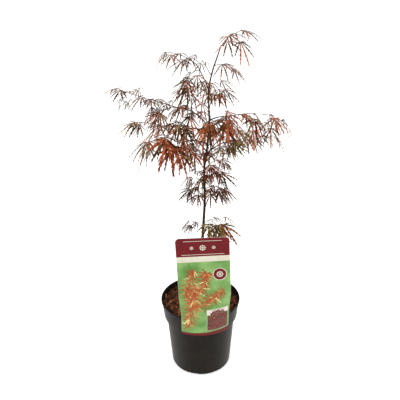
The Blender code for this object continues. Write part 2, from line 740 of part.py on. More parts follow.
def build_mass(name, mass, stem, taken, parts, material):
    """Grow a mass's leaves on its stem, clear of everything in taken, and fuse all into one solid."""
    route, points, faces = stem
    twig = add_mesh(name, points, faces, parts, material)
    luck = random.Random(mass.seed)
    leaves, trees = [], []
    skipped = 0
    for share, turn, last in leaf_places(mass):
        best = None
        for attempt in range(LEAF_TRIES):
            aside = RETRY_TURN * attempt * (-1) ** attempt
            seat = leaf_seat(mass, route, share, turn + aside, last, luck)
            wide = tree_of(*leaf_shape(*seat, grow=LEAF_CLEARANCE))
            if any(wide.overlap(other) for other in taken):
                continue
            crossings = sum(len(wide.overlap(other)) for other in trees)
            if best is None or crossings < best[0]:
                best = (crossings, seat)
            if crossings == 0:
                break
        if best is None:
            skipped += 1
            continue
        points, faces = leaf_shape(*best[1])
        leaves.append(add_mesh(f"{name}_leaf", points, faces, parts))
        trees.append(tree_of(points, faces))
    fuse(twig, leaves)
    print(f"{name}: {len(leaves)} leaves, {skipped} skipped, {len(twig.data.polygons)} faces")
    return trees


def grow_stems(routes, solids):
    """Return each mass's stem as its route, points and faces, and a search tree of each."""
    stems, trees = {}, {}
    for name, mass in MASSES.items():
        route = branch_route(routes[mass.parent], mass, STEM_RADII[0], STEM_RADII[1], 2 + 2 * max(1, mass.pairs))
        stems[name] = (route, *twig_shape(route))
        trees[name] = tree_of(*stems[name][1:])
        for other, tree in [*solids.items(), *trees.items()]:
            if other != name and trees[name].overlap(tree):
                raise ValueError(f"the stem of {name} crosses {other}")
    return stems, trees


def main():
    """Build every piece in order, from the pot up."""
    clear_scene()
    parts = new_collection("potted_weeping_maple")
    cutters = new_collection("cutters", hidden=True)
    bark = finish("bark", (0.05, 0.035, 0.028), 0.8)
    solids = [build_pot(parts, cutters), build_soil(parts), build_label(parts)]
    routes = {"trunk": build_trunk(parts, bark)}
    solids.append(bpy.data.objects["trunk"])
    for name, limb in BOUGHS.items():
        routes[name] = branch_route(routes[limb.parent], limb, limb.foot_radius, limb.tip_radius, 6)
        solids.append(tube(name, routes[name], parts, bark, 1))
    limbs = {thing.name: tree_of_object(thing) for thing in solids}
    stems, stem_trees = grow_stems(routes, limbs)
    tints = {tint: finish(f"foliage_{tint}", color, 0.6) for tint, color in TINTS.items()}
    grown = []
    for name, mass in MASSES.items():
        others = [tree for other, tree in stem_trees.items() if other != name]
        taken = [*limbs.values(), *others, *grown]
        grown += build_mass(name, mass, stems[name], taken, parts, tints[mass.tint])


main()
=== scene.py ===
"""The looks of a young weeping cut-leaf maple in its nursery pot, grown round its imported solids.

Sizes are in millimetres, in the frame of the solids: +Z up, the origin in the middle of the pot's
underside, and the plant label on the -Y side. A surface is worked out as whole arrays and becomes an
object in metres at the origin. The crown follows the rule of the solids: a limb tapers from its
parent to a named tip, and a mass of foliage is a stem with opposite pairs of palmate leaves, each
pair a quarter turn on from the last. Here each stem also carries side shoots by the same rule, and
each leaf has its real, feathered outline.
"""

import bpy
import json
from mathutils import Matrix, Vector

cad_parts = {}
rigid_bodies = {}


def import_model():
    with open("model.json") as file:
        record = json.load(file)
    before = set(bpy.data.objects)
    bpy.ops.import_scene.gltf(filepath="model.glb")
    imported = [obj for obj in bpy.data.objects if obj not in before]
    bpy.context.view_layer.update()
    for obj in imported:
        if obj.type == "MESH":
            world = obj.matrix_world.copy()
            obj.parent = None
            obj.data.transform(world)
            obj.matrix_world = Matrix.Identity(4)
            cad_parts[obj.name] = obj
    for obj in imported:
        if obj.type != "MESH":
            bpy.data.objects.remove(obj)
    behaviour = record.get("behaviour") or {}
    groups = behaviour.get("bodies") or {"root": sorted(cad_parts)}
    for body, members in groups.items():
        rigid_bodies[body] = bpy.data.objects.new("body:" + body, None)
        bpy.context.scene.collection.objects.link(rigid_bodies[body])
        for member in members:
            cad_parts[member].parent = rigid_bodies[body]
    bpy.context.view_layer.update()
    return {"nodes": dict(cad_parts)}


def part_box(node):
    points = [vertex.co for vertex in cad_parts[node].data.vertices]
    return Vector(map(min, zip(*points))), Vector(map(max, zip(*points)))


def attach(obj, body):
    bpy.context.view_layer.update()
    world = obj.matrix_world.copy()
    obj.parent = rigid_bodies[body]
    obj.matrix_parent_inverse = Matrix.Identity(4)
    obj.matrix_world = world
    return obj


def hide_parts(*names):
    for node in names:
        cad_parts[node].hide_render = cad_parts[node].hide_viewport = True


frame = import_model()

import json
import logging
import math
import random
from collections.abc import Iterator
from dataclasses import dataclass, field, replace
from enum import Enum

import bpy
import numpy as np
from mathutils import Euler, Matrix
from mathutils.bvhtree import BVHTree
from numpy.typing import ArrayLike, NDArray

LOG = logging.getLogger("potted_maple")
MM = 0.001
UP = np.array((0.0, 0.0, 1.0))
ACROSS = np.array((1.0, 0.0, 0.0))
BODY = "root"

Array = NDArray[np.float64]
Faces = NDArray[np.int64]
Color = tuple[float, float, float, float]
Pair = tuple[float, float]
Triple = tuple[float, float, float]


# ---------------------------------------------------------------- surfaces


def unit(vector: ArrayLike) -> Array:
    """Scale a vector, or each row of an array of them, to length 1."""
    rows = np.asarray(vector, float)
    return rows / np.linalg.norm(rows, axis=-1, keepdims=True)


def around(count: int) -> Array:
    """Return a number of evenly spaced angles round a circle."""
    return np.linspace(0, math.tau, count, endpoint=False)


def lattice(rows: int, columns: int, wrapped: bool = False) -> Faces:
    """Join a grid of points with two triangles to each cell.

    Args:
        rows: Number of grid rows.
        columns: Number of points in each row, which follow one another.
        wrapped: Whether the last column joins the first.

    Returns:
        Triangles on point numbers, where row r and column c is point r * columns + c.
    """
    row = np.arange(rows - 1)[:, None]
    column = np.arange(columns if wrapped else columns - 1)[None, :]
    after = (column + 1) % columns
    a, b = row * columns + column, row * columns + after
    c, d = a + columns, b + columns
    return np.stack((np.stack((a, b, d), -1), np.stack((a, d, c), -1)), 2).reshape(-1, 3)


def fan(center: int, ring: Faces, turned: bool = False) -> Faces:
    """Close a ring of points with triangles to one point.

    Args:
        center: The number of the middle point.
        ring: The numbers of the ring's points in order.
        turned: Whether the triangles face the other way.

    Returns:
        One triangle for each side of the ring.
    """
    after = np.roll(ring, -1)
    middle = np.full(len(ring), center)
    sides = (middle, after, ring) if turned else (middle, ring, after)
    return np.stack(sides, -1)


@dataclass
class Surface:
    """Points in millimetres, triangles on them, and the number of each triangle's finish."""

    points: Array
    faces: Faces
    tone: Faces | None = None

    def __post_init__(self) -> None:
        """Give every triangle the first finish where none is named."""
        if self.tone is None:
            self.tone = np.zeros(len(self.faces), np.int64)

    def toned(self, tone: int) -> "Surface":
        """Return the same surface with one finish number on every triangle."""
        return Surface(self.points, self.faces, np.full(len(self.faces), tone))

    def facing_out(self) -> "Surface":
        """Turn the faces outwards.

        The sum over the triangles of a . (b x c) is six times the volume, and is negative where the
        surface is inside out.

        Returns:
            The surface, with its triangles reversed if they faced inwards.
        """
        a, b, c = (self.points[self.faces[:, i]] for i in range(3))
        inside_out = np.einsum("ij,ij->i", a, np.cross(b, c)).sum() < 0
        return Surface(self.points, self.faces[:, ::-1] if inside_out else self.faces, self.tone)

    def shown(
        self,
        name: str,
        finishes: list[bpy.types.Material],
        slot: str,
        stands_for: tuple[str, ...] = (),
        sharp: float = 40.0,
    ) -> bpy.types.Object:
        """Make the surface an object that rides on the plant's body.

        Args:
            name: The piece's name.
            finishes: Its materials, in the order of the finish numbers.
            slot: The record's material slot; it is not used.
            stands_for: The solids that it is shown in place of.
            sharp: Edges that bend by more than these degrees stay crisp.

        Returns:
            The object, at the origin, with its place in its mesh.
        """
        mesh = bpy.data.meshes.new(name)
        count = len(self.faces)
        mesh.vertices.add(len(self.points))
        mesh.vertices.foreach_set("co", (self.points * MM).astype(np.float32).ravel())
        mesh.loops.add(3 * count)
        mesh.loops.foreach_set("vertex_index", self.faces.astype(np.int32).ravel())
        mesh.polygons.add(count)
        mesh.polygons.foreach_set("loop_start", np.arange(0, 3 * count, 3, dtype=np.int32))
        mesh.polygons.foreach_set("material_index", self.tone.astype(np.int32))
        mesh.update(calc_edges=True)
        mesh.shade_smooth()
        mesh.set_sharp_from_angle(angle=math.radians(sharp))
        for finish in finishes:
            mesh.materials.append(finish)
        piece = bpy.data.objects.new(name, mesh)
        bpy.context.scene.collection.objects.link(piece)
        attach(piece, BODY)
        if stands_for:
            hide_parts(*stands_for)
        LOG.info("%s: %d triangles", name, count)
        return piece


def joined(parts: list[Surface]) -> Surface:
    """Join several surfaces into one.

    Args:
        parts: The surfaces.

    Returns:
        One surface, in which each part keeps its finish numbers.
    """
    starts = np.cumsum([0] + [len(part.points) for part in parts[:-1]])
    return Surface(
        np.concatenate([part.points for part in parts]),
        np.concatenate([part.faces + start for part, start in zip(parts, starts)]),
        np.concatenate([part.tone for part in parts]),
    )


def capped(rings: Array, ends: Array) -> Surface:
    """Skin a stack of rings and close each end with a point.

    Args:
        rings: The rings' points, rows by columns by 3.
        ends: The point that closes the first ring, and the one that closes the last.

    Returns:
        The closed surface, facing outwards.
    """
    rows, columns = rings.shape[:2]
    count = rows * columns
    ring = np.arange(columns)
    faces = np.concatenate((
        lattice(rows, columns, wrapped=True),
        fan(count, ring, turned=True),
        fan(count + 1, ring + count - columns),
    ))
    return Surface(np.concatenate((rings.reshape(-1, 3), ends)), faces).facing_out()


def copied(points: Array, faces: Faces, tones: Faces) -> Surface:
    """Lay out many copies of one shape.

    Args:
        points: The points of each copy, copies by points by 3.
        faces: The shape's triangles.
        tones: Each copy's finish number, or a row of them for its triangles.

    Returns:
        The copies as one surface.
    """
    count = len(points)
    starts = np.arange(count)[:, None, None] * points.shape[1]
    tones = np.broadcast_to(tones.reshape(count, -1), (count, len(faces)))
    return Surface(points.reshape(-1, 3), (faces + starts).reshape(-1, 3), tones.ravel())


def rounded(corners: list[Triple], steps: int = 6) -> Array:
    """Round the corners of an open outline.

    A corner of radius r becomes an arc that touches both of its sides. Its centre lies on the
    bisector at r over the sine of half the corner's angle.

    Args:
        corners: Each corner as radius from the axis, height and corner radius.
        steps: Points on each arc.

    Returns:
        The outline's points as (radius from the axis, height).
    """
    points = np.array([corner[:2] for corner in corners], float)
    outline = [points[0]]
    for index in range(1, len(corners) - 1):
        size = corners[index][2]
        if size <= 0:
            outline.append(points[index])
            continue
        back, on = unit(points[index - 1] - points[index]), unit(points[index + 1] - points[index])
        half = math.acos(float(np.clip(back @ on, -1, 1))) / 2
        center = points[index] + unit(back + on) * size / math.sin(half)
        start = unit(points[index] + back * size / math.tan(half) - center)
        end = unit(points[index] + on * size / math.tan(half) - center)
        sweep = math.pi - 2 * half
        share = np.linspace(0, 1, steps)[:, None]
        spokes = (np.sin((1 - share) * sweep) * start + np.sin(share * sweep) * end) / math.sin(sweep)
        outline += list(center + size * spokes)
    outline.append(points[-1])
    return np.array(outline)


def turned(profile: Array, columns: int) -> Surface:
    """Turn a profile about the Z axis.

    The point at row r and column c is (radius cos a, radius sin a, height) with a = 2 pi c / columns.

    Args:
        profile: Points as (radius, height), whose first and last lie on the axis.
        columns: Points round each ring.

    Returns:
        The closed surface, with one point at each pole.
    """
    angle = around(columns)
    radius, height = profile[1:-1, 0, None], profile[1:-1, 1, None]
    rings = np.stack((radius * np.cos(angle), radius * np.sin(angle), height + 0 * angle), -1)
    return capped(rings, np.array([(0, 0, profile[0, 1]), (0, 0, profile[-1, 1])]))


def slab(front: Array, back: Array) -> Surface:
    """Close two grids of points that lie one behind the other into a thin plate.

    Args:
        front: The front face's points, rows by columns by 3.
        back: The back face's points, of the same shape.

    Returns:
        The plate, whose rim joins the two faces.
    """
    rows, columns = front.shape[:2]
    numbers = np.arange(rows * columns).reshape(rows, columns)
    rim = np.concatenate((numbers[0, :-1], numbers[:-1, -1], numbers[-1, :0:-1], numbers[:0:-1, 0]))
    cells = lattice(rows, columns)
    behind = rim + rows * columns
    after, after_behind = np.roll(rim, -1), np.roll(behind, -1)
    sides = (np.stack((rim, behind, after_behind), -1), np.stack((rim, after_behind, after), -1))
    faces = np.concatenate((cells, cells[:, ::-1] + rows * columns, *sides))
    return Surface(np.concatenate((front.reshape(-1, 3), back.reshape(-1, 3))), faces).facing_out()


def ripple(points: Array, length: float, seed: int, waves: int = 7) -> Array:
    """Return a smooth, seeded unevenness from -1 to 1.

    It is the mean of sines along random directions, whose wavelengths are about the given length.

    Args:
        points: The places, one row each, mm.
        length: The usual wavelength, mm.
        seed: The seed of the directions and phases.
        waves: How many sines are summed.

    Returns:
        One value for each place.
    """
    luck = np.random.default_rng(seed)
    direction = unit(luck.normal(size=(waves, points.shape[-1])))
    pace = math.tau / (length * luck.uniform(0.6, 1.6, waves))
    phase = luck.uniform(0, math.tau, waves)
    return np.sin(points @ direction.T * pace + phase).mean(-1) * math.sqrt(waves) / 2


def smooth_line(points: ArrayLike, count: int) -> Array:
    """Sample a Catmull-Rom curve through points, evenly in its parameter.

    Args:
        points: The points that the curve passes through.
        count: The number of samples.

    Returns:
        The samples.
    """
    points = np.asarray(points, float)
    padded = np.vstack((2 * points[0] - points[1], points, 2 * points[-1] - points[-2]))
    spots = np.linspace(0, len(points) - 1 - 1e-9, count)
    part = spots.astype(int)
    t = (spots - part)[:, None]
    before, start, end, after = (padded[part + step] for step in range(4))
    return 0.5 * (2 * start + (end - before) * t + (2 * before - 5 * start + 4 * end - after) * t**2
                  + (3 * start - before - 3 * end + after) * t**3)


def tube(line: Array, radius: Array, sides: int, over: Array = UP) -> Surface:
    """Carry a ring along a line.

    The ring at each point lies square to the line: point + radius * (cos a * side + sin a * top),
    where side is the tangent crossed with over, and top is side crossed with the tangent.

    Args:
        line: The axis, one point a row.
        radius: The ring's radius at each point, or at each point and side.
        sides: Points round each ring.
        over: A direction that the line never takes.

    Returns:
        The tube with both ends closed.
    """
    tangent = unit(np.gradient(line, axis=0))
    side = unit(np.cross(tangent, over))
    top = np.cross(side, tangent)
    angle = around(sides)[None, :, None]
    size = np.broadcast_to(np.reshape(radius, (len(line), -1)), (len(line), sides))[..., None]
    rings = line[:, None] + size * (np.cos(angle) * side[:, None] + np.sin(angle) * top[:, None])
    return capped(rings, line[[0, -1]])


# ---------------------------------------------------------------- finishes


def linear(code: str) -> Color:
    """Turn an sRGB hex value into linear red, green and blue from 0 to 1, with alpha 1."""
    shares = np.array([int(code[i:i + 2], 16) for i in (1, 3, 5)]) / 255
    return (*np.where(shares <= 0.04045, shares / 12.92, ((shares + 0.055) / 1.055) ** 2.4).tolist(), 1.0)


def add_node(
    tree: bpy.types.NodeTree, kind: str, sockets: dict[str | int, object], **settings: object
) -> bpy.types.Node:
    """Add a shader node.

    Args:
        tree: The material's node tree.
        kind: The node's type.
        sockets: For each input, its constant or the output that feeds it.
        settings: The node's own properties.

    Returns:
        The node.
    """
    node = tree.nodes.new(kind)
    for name, value in settings.items():
        setattr(node, name, value)
    for name, value in sockets.items():
        if isinstance(value, bpy.types.NodeSocket):
            tree.links.new(value, node.inputs[name])
        else:
            node.inputs[name].default_value = value
    return node


@dataclass(frozen=True)
class Layer:
    """A pattern in a finish, in object space: it may tint what is under it and may raise the skin.

    As the pattern goes from low to high, the tint takes over from the colour under it.
    """

    size: float  # the usual width of a feature, mm
    detail: float
    tint: str = ""
    low: float = 0.0
    high: float = 1.0
    relief: float = 0.0  # mm
    squeeze: float = 1.0  # under 1, the pattern is drawn out along Z
    cells: bool = False  # whether it is the distance from the middle of a cell instead of a noise


def finished(
    name: str,
    color: str,
    layers: tuple[Layer, ...],
    roughness: float,
    ior: float = 1.5,
    specular: float = 0.5,
    glow: float = 0.0,
) -> bpy.types.Material:
    """Make a material with one Principled shader.

    Args:
        name: The material's name.
        color: Its base colour, an sRGB hex value.
        layers: The patterns over the base colour, from the lowest.
        roughness: How far its highlights spread, from 0 to 1.
        ior: Its index of refraction.
        specular: The strength of its highlights, which is 0.5 for a clean surface.
        glow: The light that it gives off, white.

    Returns:
        The material.
    """
    material = bpy.data.materials.new(name)
    material.use_nodes = True
    tree = material.node_tree
    tree.nodes.clear()
    place = add_node(tree, "ShaderNodeTexCoord", {}).outputs["Object"]
    sockets = {
        "Base Color": linear(color),
        "Roughness": roughness,
        "IOR": ior,
        "Specular IOR Level": specular,
        "Emission Strength": glow,
    }
    for layer in layers:
        pattern = {"Vector": place, "Scale": 1 / (layer.size * MM)}
        if layer.squeeze != 1.0:
            drawn = {"Vector": place, "Scale": (1.0, 1.0, layer.squeeze)}
            pattern["Vector"] = add_node(tree, "ShaderNodeMapping", drawn).outputs["Vector"]
        if layer.cells:
            level = add_node(tree, "ShaderNodeTexVoronoi", pattern).outputs["Distance"]
        else:
            pattern["Detail"] = layer.detail
            level = add_node(tree, "ShaderNodeTexNoise", pattern).outputs["Fac"]
        if layer.tint:
            span = {"Value": level, "From Min": layer.low, "From Max": layer.high}
            share = add_node(tree, "ShaderNodeMapRange", span).outputs["Result"]
            colors = {0: share, 6: sockets["Base Color"], 7: linear(layer.tint)}
            sockets["Base Color"] = add_node(tree, "ShaderNodeMix", colors, data_type="RGBA").outputs[2]
        if layer.relief:
            height = {"Height": level, "Distance": layer.relief * MM, "Strength": 1.0}
            sockets["Normal"] = add_node(tree, "ShaderNodeBump", height).outputs["Normal"]
    shader = add_node(tree, "ShaderNodeBsdfPrincipled", sockets)
    add_node(tree, "ShaderNodeOutputMaterial", {"Surface": shader.outputs["BSDF"]})
    return material


@dataclass(frozen=True)
class MouldedPolypropylene:
    """Recycled polypropylene from a spark-eroded mould: matt charcoal with a little grey dust."""

    name: str = "moulded_polypropylene"
    color: str = "#14100b"
    cloud: Layer = Layer(38.0, 4.0, "#1c1710", 0.42, 0.72)
    dust: Layer = Layer(9.0, 8.0, "#2a231b", 0.55, 0.95)
    grain: Layer = Layer(1.4, 2.0, relief=0.06)  # the mould's own grain is finer than shows

    def material(self) -> bpy.types.Material:
        """Return the plastic, with broad clouds, dust in patches and a grain."""
        return finished(self.name, self.color, (self.cloud, self.dust, self.grain), 0.42, 1.49, 0.085)


@dataclass(frozen=True)
class Bark:
    """Young maple bark: smooth and dark, with lengthwise ridges and small pale breathing pores."""

    name: str
    color: str
    ridge: str
    pore: str
    ridge_width: float = 1.1
    pore_spacing: float = 5.0
    roughness: float = 0.72

    def material(self) -> bpy.types.Material:
        """Lay ridges that are drawn out along Z, and a pore in the middle of each cell.

        Returns:
            The bark.
        """
        ridges = Layer(self.ridge_width, 5.0, self.ridge, 0.38, 0.66, 0.35, squeeze=0.16)
        pores = Layer(self.pore_spacing, 0.0, self.pore, 0.16, 0.08, cells=True)
        return finished(self.name, self.color, (ridges, pores), self.roughness, 1.5, 0.12)


@dataclass(frozen=True)
class Chip:
    """Composted pine bark and wood: dull, fibrous, damp and dark, or red-brown and paler where dry."""

    name: str
    color: str
    fibre: str
    roughness: float = 0.85
    pits: Layer = Layer(7.0, 3.0, "#20130b", 0.6, 0.36)

    def material(self) -> bpy.types.Material:
        """Return the chip, with raised fibres and darker pits."""
        fibres = Layer(1.6, 6.0, self.fibre, 0.35, 0.65, 0.5)
        return finished(self.name, self.color, (fibres, self.pits), self.roughness, 1.45, 0.15)


@dataclass(frozen=True)
class PrintedCard:
    """Coated card with a printed tint: smooth, a little glossy, its ink slightly cloudy."""

    name: str
    color: str
    cloud: str
    patch: float = 22.0
    sharpness: float = 0.2
    roughness: float = 0.38
    weave: Layer = Layer(0.9, 2.0, relief=0.02)

    def material(self) -> bpy.types.Material:
        """Return the print: two tints that run into each other in patches, under a thin varnish."""
        cloud = Layer(self.patch, 3.0, self.cloud, 0.5 - self.sharpness, 0.5 + self.sharpness)
        return finished(self.name, self.color, (cloud, self.weave), self.roughness, 1.5, 0.15)


@dataclass(frozen=True)
class LeafBlade:
    """A thin leaf blade: a plain tint, faintly mottled with painted sheen and shade as well as real mottling,
    waxy, with a fine-veined skin.
    """

    name: str
    color: str
    mottle_and_shade: str
    roughness: float = 0.55
    veins: Layer = Layer(1.0, 2.0, relief=0.12)

    def material(self) -> bpy.types.Material:
        """Return the blade: one tint that is a shade darker in patches, partly real mottling and partly
        painted sheen and shade.
        """
        # Painted sheen and shade: the darker patches and the lighter tint between them stand in part for
        # light on the blade.
        mottle_and_shade = Layer(7.0, 3.0, self.mottle_and_shade, 0.42, 0.58)
        return finished(self.name, self.color, (mottle_and_shade, self.veins), self.roughness, 1.45, 0.08)


# ---------------------------------------------------------------- the pot and what fills it


@dataclass
class NurseryPot:
    """A round nursery pot with a stepped collar, a lipped rim and drainage notches round its foot."""

    height: float = 180.0
    rim_radius: float = 95.0
    lip: Pair = (0.8, 3.4)  # how far it stands proud, and how deep it is
    collar_foot: Pair = (88.5, 135.5)
    body_top: Pair = (82.2, 134.5)
    foot_radius: float = 72.4
    foot_rounding: float = 7.0
    wall: float = 2.2
    foot_wall: float = 3.2
    floor: float = 5.5
    ledge: Pair = (135.2, 137.7)
    notch_half_width: float = 12.0
    notch_height: float = 3.5
    notch_depth: float = 6.0
    notch_turn: float = math.radians(-106.0)
    notch_count: int = 8
    columns: int = 320
    finish: MouldedPolypropylene = MouldedPolypropylene()

    def inner_radius(self, height: ArrayLike) -> Array:
        """Find the inner wall's radius.

        Args:
            height: The heights over the ground, mm.

        Returns:
            The radius at each.
        """
        heights = (self.floor, *self.ledge, self.height)
        foot, body = self.foot_radius - self.foot_wall, self.body_top[0] - self.wall
        collar, rim = self.collar_foot[0] - self.wall, self.rim_radius - self.wall
        return np.interp(height, heights, (foot, body, collar, rim))

    def profile(self) -> Array:
        """Draw the outline from the floor's middle, up the inside, over the rim and down to the foot.

        Returns:
            The outline's points as (radius, height).
        """
        inside, rim = self.inner_radius((self.floor, *self.ledge)), self.rim_radius
        notch = self.foot_radius - self.notch_depth
        return rounded([
            (0, self.floor, 0),
            (inside[0], self.floor, 2.0),
            (inside[1], self.ledge[0], 1.5),
            (inside[2], self.ledge[1], 1.2),
            (rim - self.wall, self.height, 0.8),
            (rim, self.height, 1.0),
            (rim - 0.1, self.height - self.lip[1], 0.5),
            (rim - self.lip[0] - 0.6, self.height - self.lip[1] - 0.5, 0.3),
            (*self.collar_foot, 1.3),
            (self.body_top[0] + 0.4, self.body_top[1] - 0.3, 0.8),
            (self.foot_radius - 0.4, 0, self.foot_rounding),
            (notch + 0.05, 0, 0),
            (notch - 0.05, 0, 0),
            (0, 0, 0),
        ])

    def shape(self) -> Surface:
        """Turn the wall and cut its notches.

        Inside each notch, every point beyond the notch's inner face is lifted to the notch's top.

        Returns:
            The wall.
        """
        wall = turned(self.profile(), self.columns)
        x, y, z = wall.points.T
        pitch = math.tau / self.notch_count
        off = (np.arctan2(y, x) - self.notch_turn + pitch / 2) % pitch - pitch / 2
        radius = np.hypot(x, y)
        in_notch = np.abs(np.sin(off)) * radius < self.notch_half_width
        lifted = in_notch & (radius > self.foot_radius - self.notch_depth) & (z < self.notch_height)
        wall.points[:, 2] = np.where(lifted, self.notch_height, z)
        return wall

    def build(self) -> None:
        """Make the pot."""
        self.shape().shown("nursery_pot", [self.finish.material()], "pot_plastic", ("pot",), sharp=35)


@dataclass
class PottingMix:
    """The bed of bark mulch: an uneven damp surface strewn with chips of several tones."""

    pot: NurseryPot
    top: float = 170.5
    edge_drop: float = 2.5
    flat_radius: float = 34.0
    sink: float = 1.6  # the bed lies this far under the chips' usual level
    wall_gap: float = 0.35
    depth: float = 14.0  # of what is modelled
    swells: tuple[tuple[float, float, int], ...] = ((1.0, 9.0, 5), (0.5, 3.5, 6))  # height, length, seed
    chip_count: int = 1100
    chip_length: Pair = (7.0, 24.0)
    chip_width: Pair = (0.16, 0.42)  # as a share of its length
    chip_thickness: Pair = (1.2, 3.0)
    chip_wear: Pair = (0.72, 1.15)  # how far each of its points moves in or out
    chip_squareness: float = 0.45  # 1 is a ball, and 0 a block
    chip_bend: float = 0.1
    chip_seed: int = 31
    chip_tilt: Pair = (0.25, 0.5)  # about its length and across it, radians
    chip_lie: Pair = (-2.0, 0.6)  # its middle's height over the general level
    trunk_room: float = 9.0
    rings: int = 50
    columns: int = 160
    bed: Chip = Chip("damp_composted_bark", "#2c190e", "#462b1a", 0.95)
    chips: tuple[Chip, ...] = (
        Chip("pine_bark_dark", "#4f2c19", "#6f4026"),
        Chip("pine_bark_red", "#6b3721", "#8f4c2c"),
        Chip("pine_bark_brown", "#5f391f", "#835130"),
        Chip("pine_wood_dry", "#8c5431", "#b27648", 0.75),
        Chip("pine_bark_black", "#2b1a10", "#452a1b"),
    )
    shares: tuple[float, ...] = (0.28, 0.24, 0.23, 0.1, 0.15)

    def level(self, radius: Array) -> Array:
        """Return the mulch's general height at each radius, flat in the middle and lower at the wall."""
        edge = float(self.pot.inner_radius(self.top - self.edge_drop))
        return np.interp(radius, (0, self.flat_radius, edge), (self.top, self.top, self.top - self.edge_drop))

    def bed_surface(self) -> Surface:
        """Shape the bed: its height is the general level plus a ripple that dies out at the wall.

        Returns:
            The bed, closed by a flat back.
        """
        edge = float(self.pot.inner_radius(self.top - self.edge_drop)) - self.wall_gap
        radius, under = np.linspace(0, edge, self.rings), self.top - self.depth
        upper = np.stack((radius, self.level(radius) - self.sink), -1)
        bed = turned(np.concatenate((upper, [(edge - 2, under), (0, under)])), self.columns)
        flat = bed.points[:, :2]
        calm = (bed.points[:, 2] > under) * (1 - (np.hypot(*flat.T) / edge) ** 12)
        waves = [height * ripple(flat, length, seed) for height, length, seed in self.swells]
        bed.points[:, 2] += calm * sum(waves)
        return bed

    def chip_surface(self) -> Surface:
        """Strew all the chips at once.

        A chip is a rounded block: each point of a sphere is pushed out to sign(p) * |p| ** squareness
        on each axis, then jittered and scaled to the chip's length, width and thickness.

        Returns:
            The chips, each with its finish number.
        """
        luck = np.random.default_rng(self.chip_seed)
        count = self.chip_count
        lift = np.radians(np.array((-50, -18, 18, 50)))[:, None]
        turn = around(7)[None, :]
        sphere = (np.cos(lift) * np.cos(turn), np.cos(lift) * np.sin(turn), np.sin(lift) + 0 * turn)
        ball = capped(np.stack(sphere, -1), np.array([(0, 0, -1), (0, 0, 1)]))
        block = np.sign(ball.points) * np.abs(ball.points) ** self.chip_squareness
        shortest, longest = self.chip_length
        long = luck.uniform(0, 1, count) ** 1.6 * (longest - shortest) + shortest
        wide = long * luck.uniform(*self.chip_width, count)
        size = np.stack((long, wide, luck.uniform(*self.chip_thickness, count)), -1) / 2
        points = block * size[:, None] * luck.uniform(*self.chip_wear, (count, len(block), 3))
        points[..., 2] += self.chip_bend * points[..., 0] * luck.normal(size=(count, 1))
        heading = luck.uniform(0, math.tau, count)
        lean, roll = (luck.normal(0, tilt, count) for tilt in self.chip_tilt)
        turns = [np.array(Euler(angles).to_matrix()) for angles in zip(roll, lean, heading)]
        points = np.einsum("nij,npj->npi", np.stack(turns), points)
        edge = float(self.pot.inner_radius(self.top)) - 1.0
        reach = np.sqrt(luck.uniform((self.trunk_room / edge) ** 2, 0.97, count)) * edge
        place = luck.uniform(0, math.tau, count)
        middle = np.stack((reach * np.cos(place), reach * np.sin(place), self.level(reach)), -1)
        middle[:, 2] += luck.uniform(*self.chip_lie, count)
        points += middle[:, None]
        radius = np.hypot(points[..., 0], points[..., 1])
        points[..., :2] *= np.minimum(1, edge / np.maximum(radius, 1))[..., None]
        return copied(points, ball.faces, 1 + luck.choice(len(self.chips), count, p=self.shares))

    def build(self) -> None:
        """Make the bed and its chips as one piece."""
        finishes = [chip.material() for chip in (self.bed, *self.chips)]
        mulch = joined([self.bed_surface(), self.chip_surface()])
        mulch.shown("bark_mulch", finishes, "potting_mix", ("soil",), sharp=50)


# ---------------------------------------------------------------- the plant label


class Ink(Enum):
    """The label's printed tints, in the order of its materials."""

    BOARD = PrintedCard("coated_white_board", "#e9e6dc", "#dedacd")
    BURGUNDY = PrintedCard("burgundy_ink", "#680f14", "#5b0c11")
    CREAM = PrintedCard("cream_ink", "#ccc7b8", "#bfb9a6")
    GREEN = PrintedCard("leaf_green_ink", "#4c7a35", "#82a663", 45.0, 0.16)
    FLAME = PrintedCard("flame_orange_ink", "#a9512c", "#8a3c1e", 6.0)
    GOLD = PrintedCard("gold_ink", "#c0834a", "#a86a37", 6.0)
    SKY = PrintedCard("pale_sky_ink", "#d9cfc8", "#bfb4ad", 12.0)
    SHRUB = PrintedCard("shrub_red_ink", "#86494a", "#5a3233", 5.0)
    SHADE = PrintedCard("shade_green_ink", "#33402a", "#4c5836", 6.0)
    STRAW = PrintedCard("straw_ink", "#dcc78c", "#cbb173", 6.0)

    def number(self) -> int:
        """Return the tint's place among the label's materials."""
        return list(Ink).index(self)


SHRUB_INKS = {Ink.SHRUB: 0.56, Ink.BURGUNDY: 0.2, Ink.SHADE: 0.15, Ink.FLAME: 0.07, Ink.GOLD: 0.02}
SPRIG_INKS = {Ink.FLAME: 0.68, Ink.GOLD: 0.22, Ink.STRAW: 0.1}

# The label's sprigs: the places that the stem passes through, across and up, and its leaves' size.
SPRIGS = (
    (((-42, 160), (-36, 194), (-29, 228), (-22, 264)), 27),
    (((-28, 226), (-38, 256), (-30, 290), (-20, 310)), 26),
    (((-30, 212), (0, 226), (22, 240), (44, 252)), 25),
    (((-22, 250), (-6, 268), (4, 288), (6, 304)), 23),
)


def dealt_inks(shares: dict[Ink, float], count: int, luck: np.random.Generator) -> Array:
    """Deal out a count of inks' numbers by the share of each ink."""
    numbers = np.array([ink.number() for ink in shares])
    return numbers[luck.choice(len(shares), count, p=list(shares.values()))]


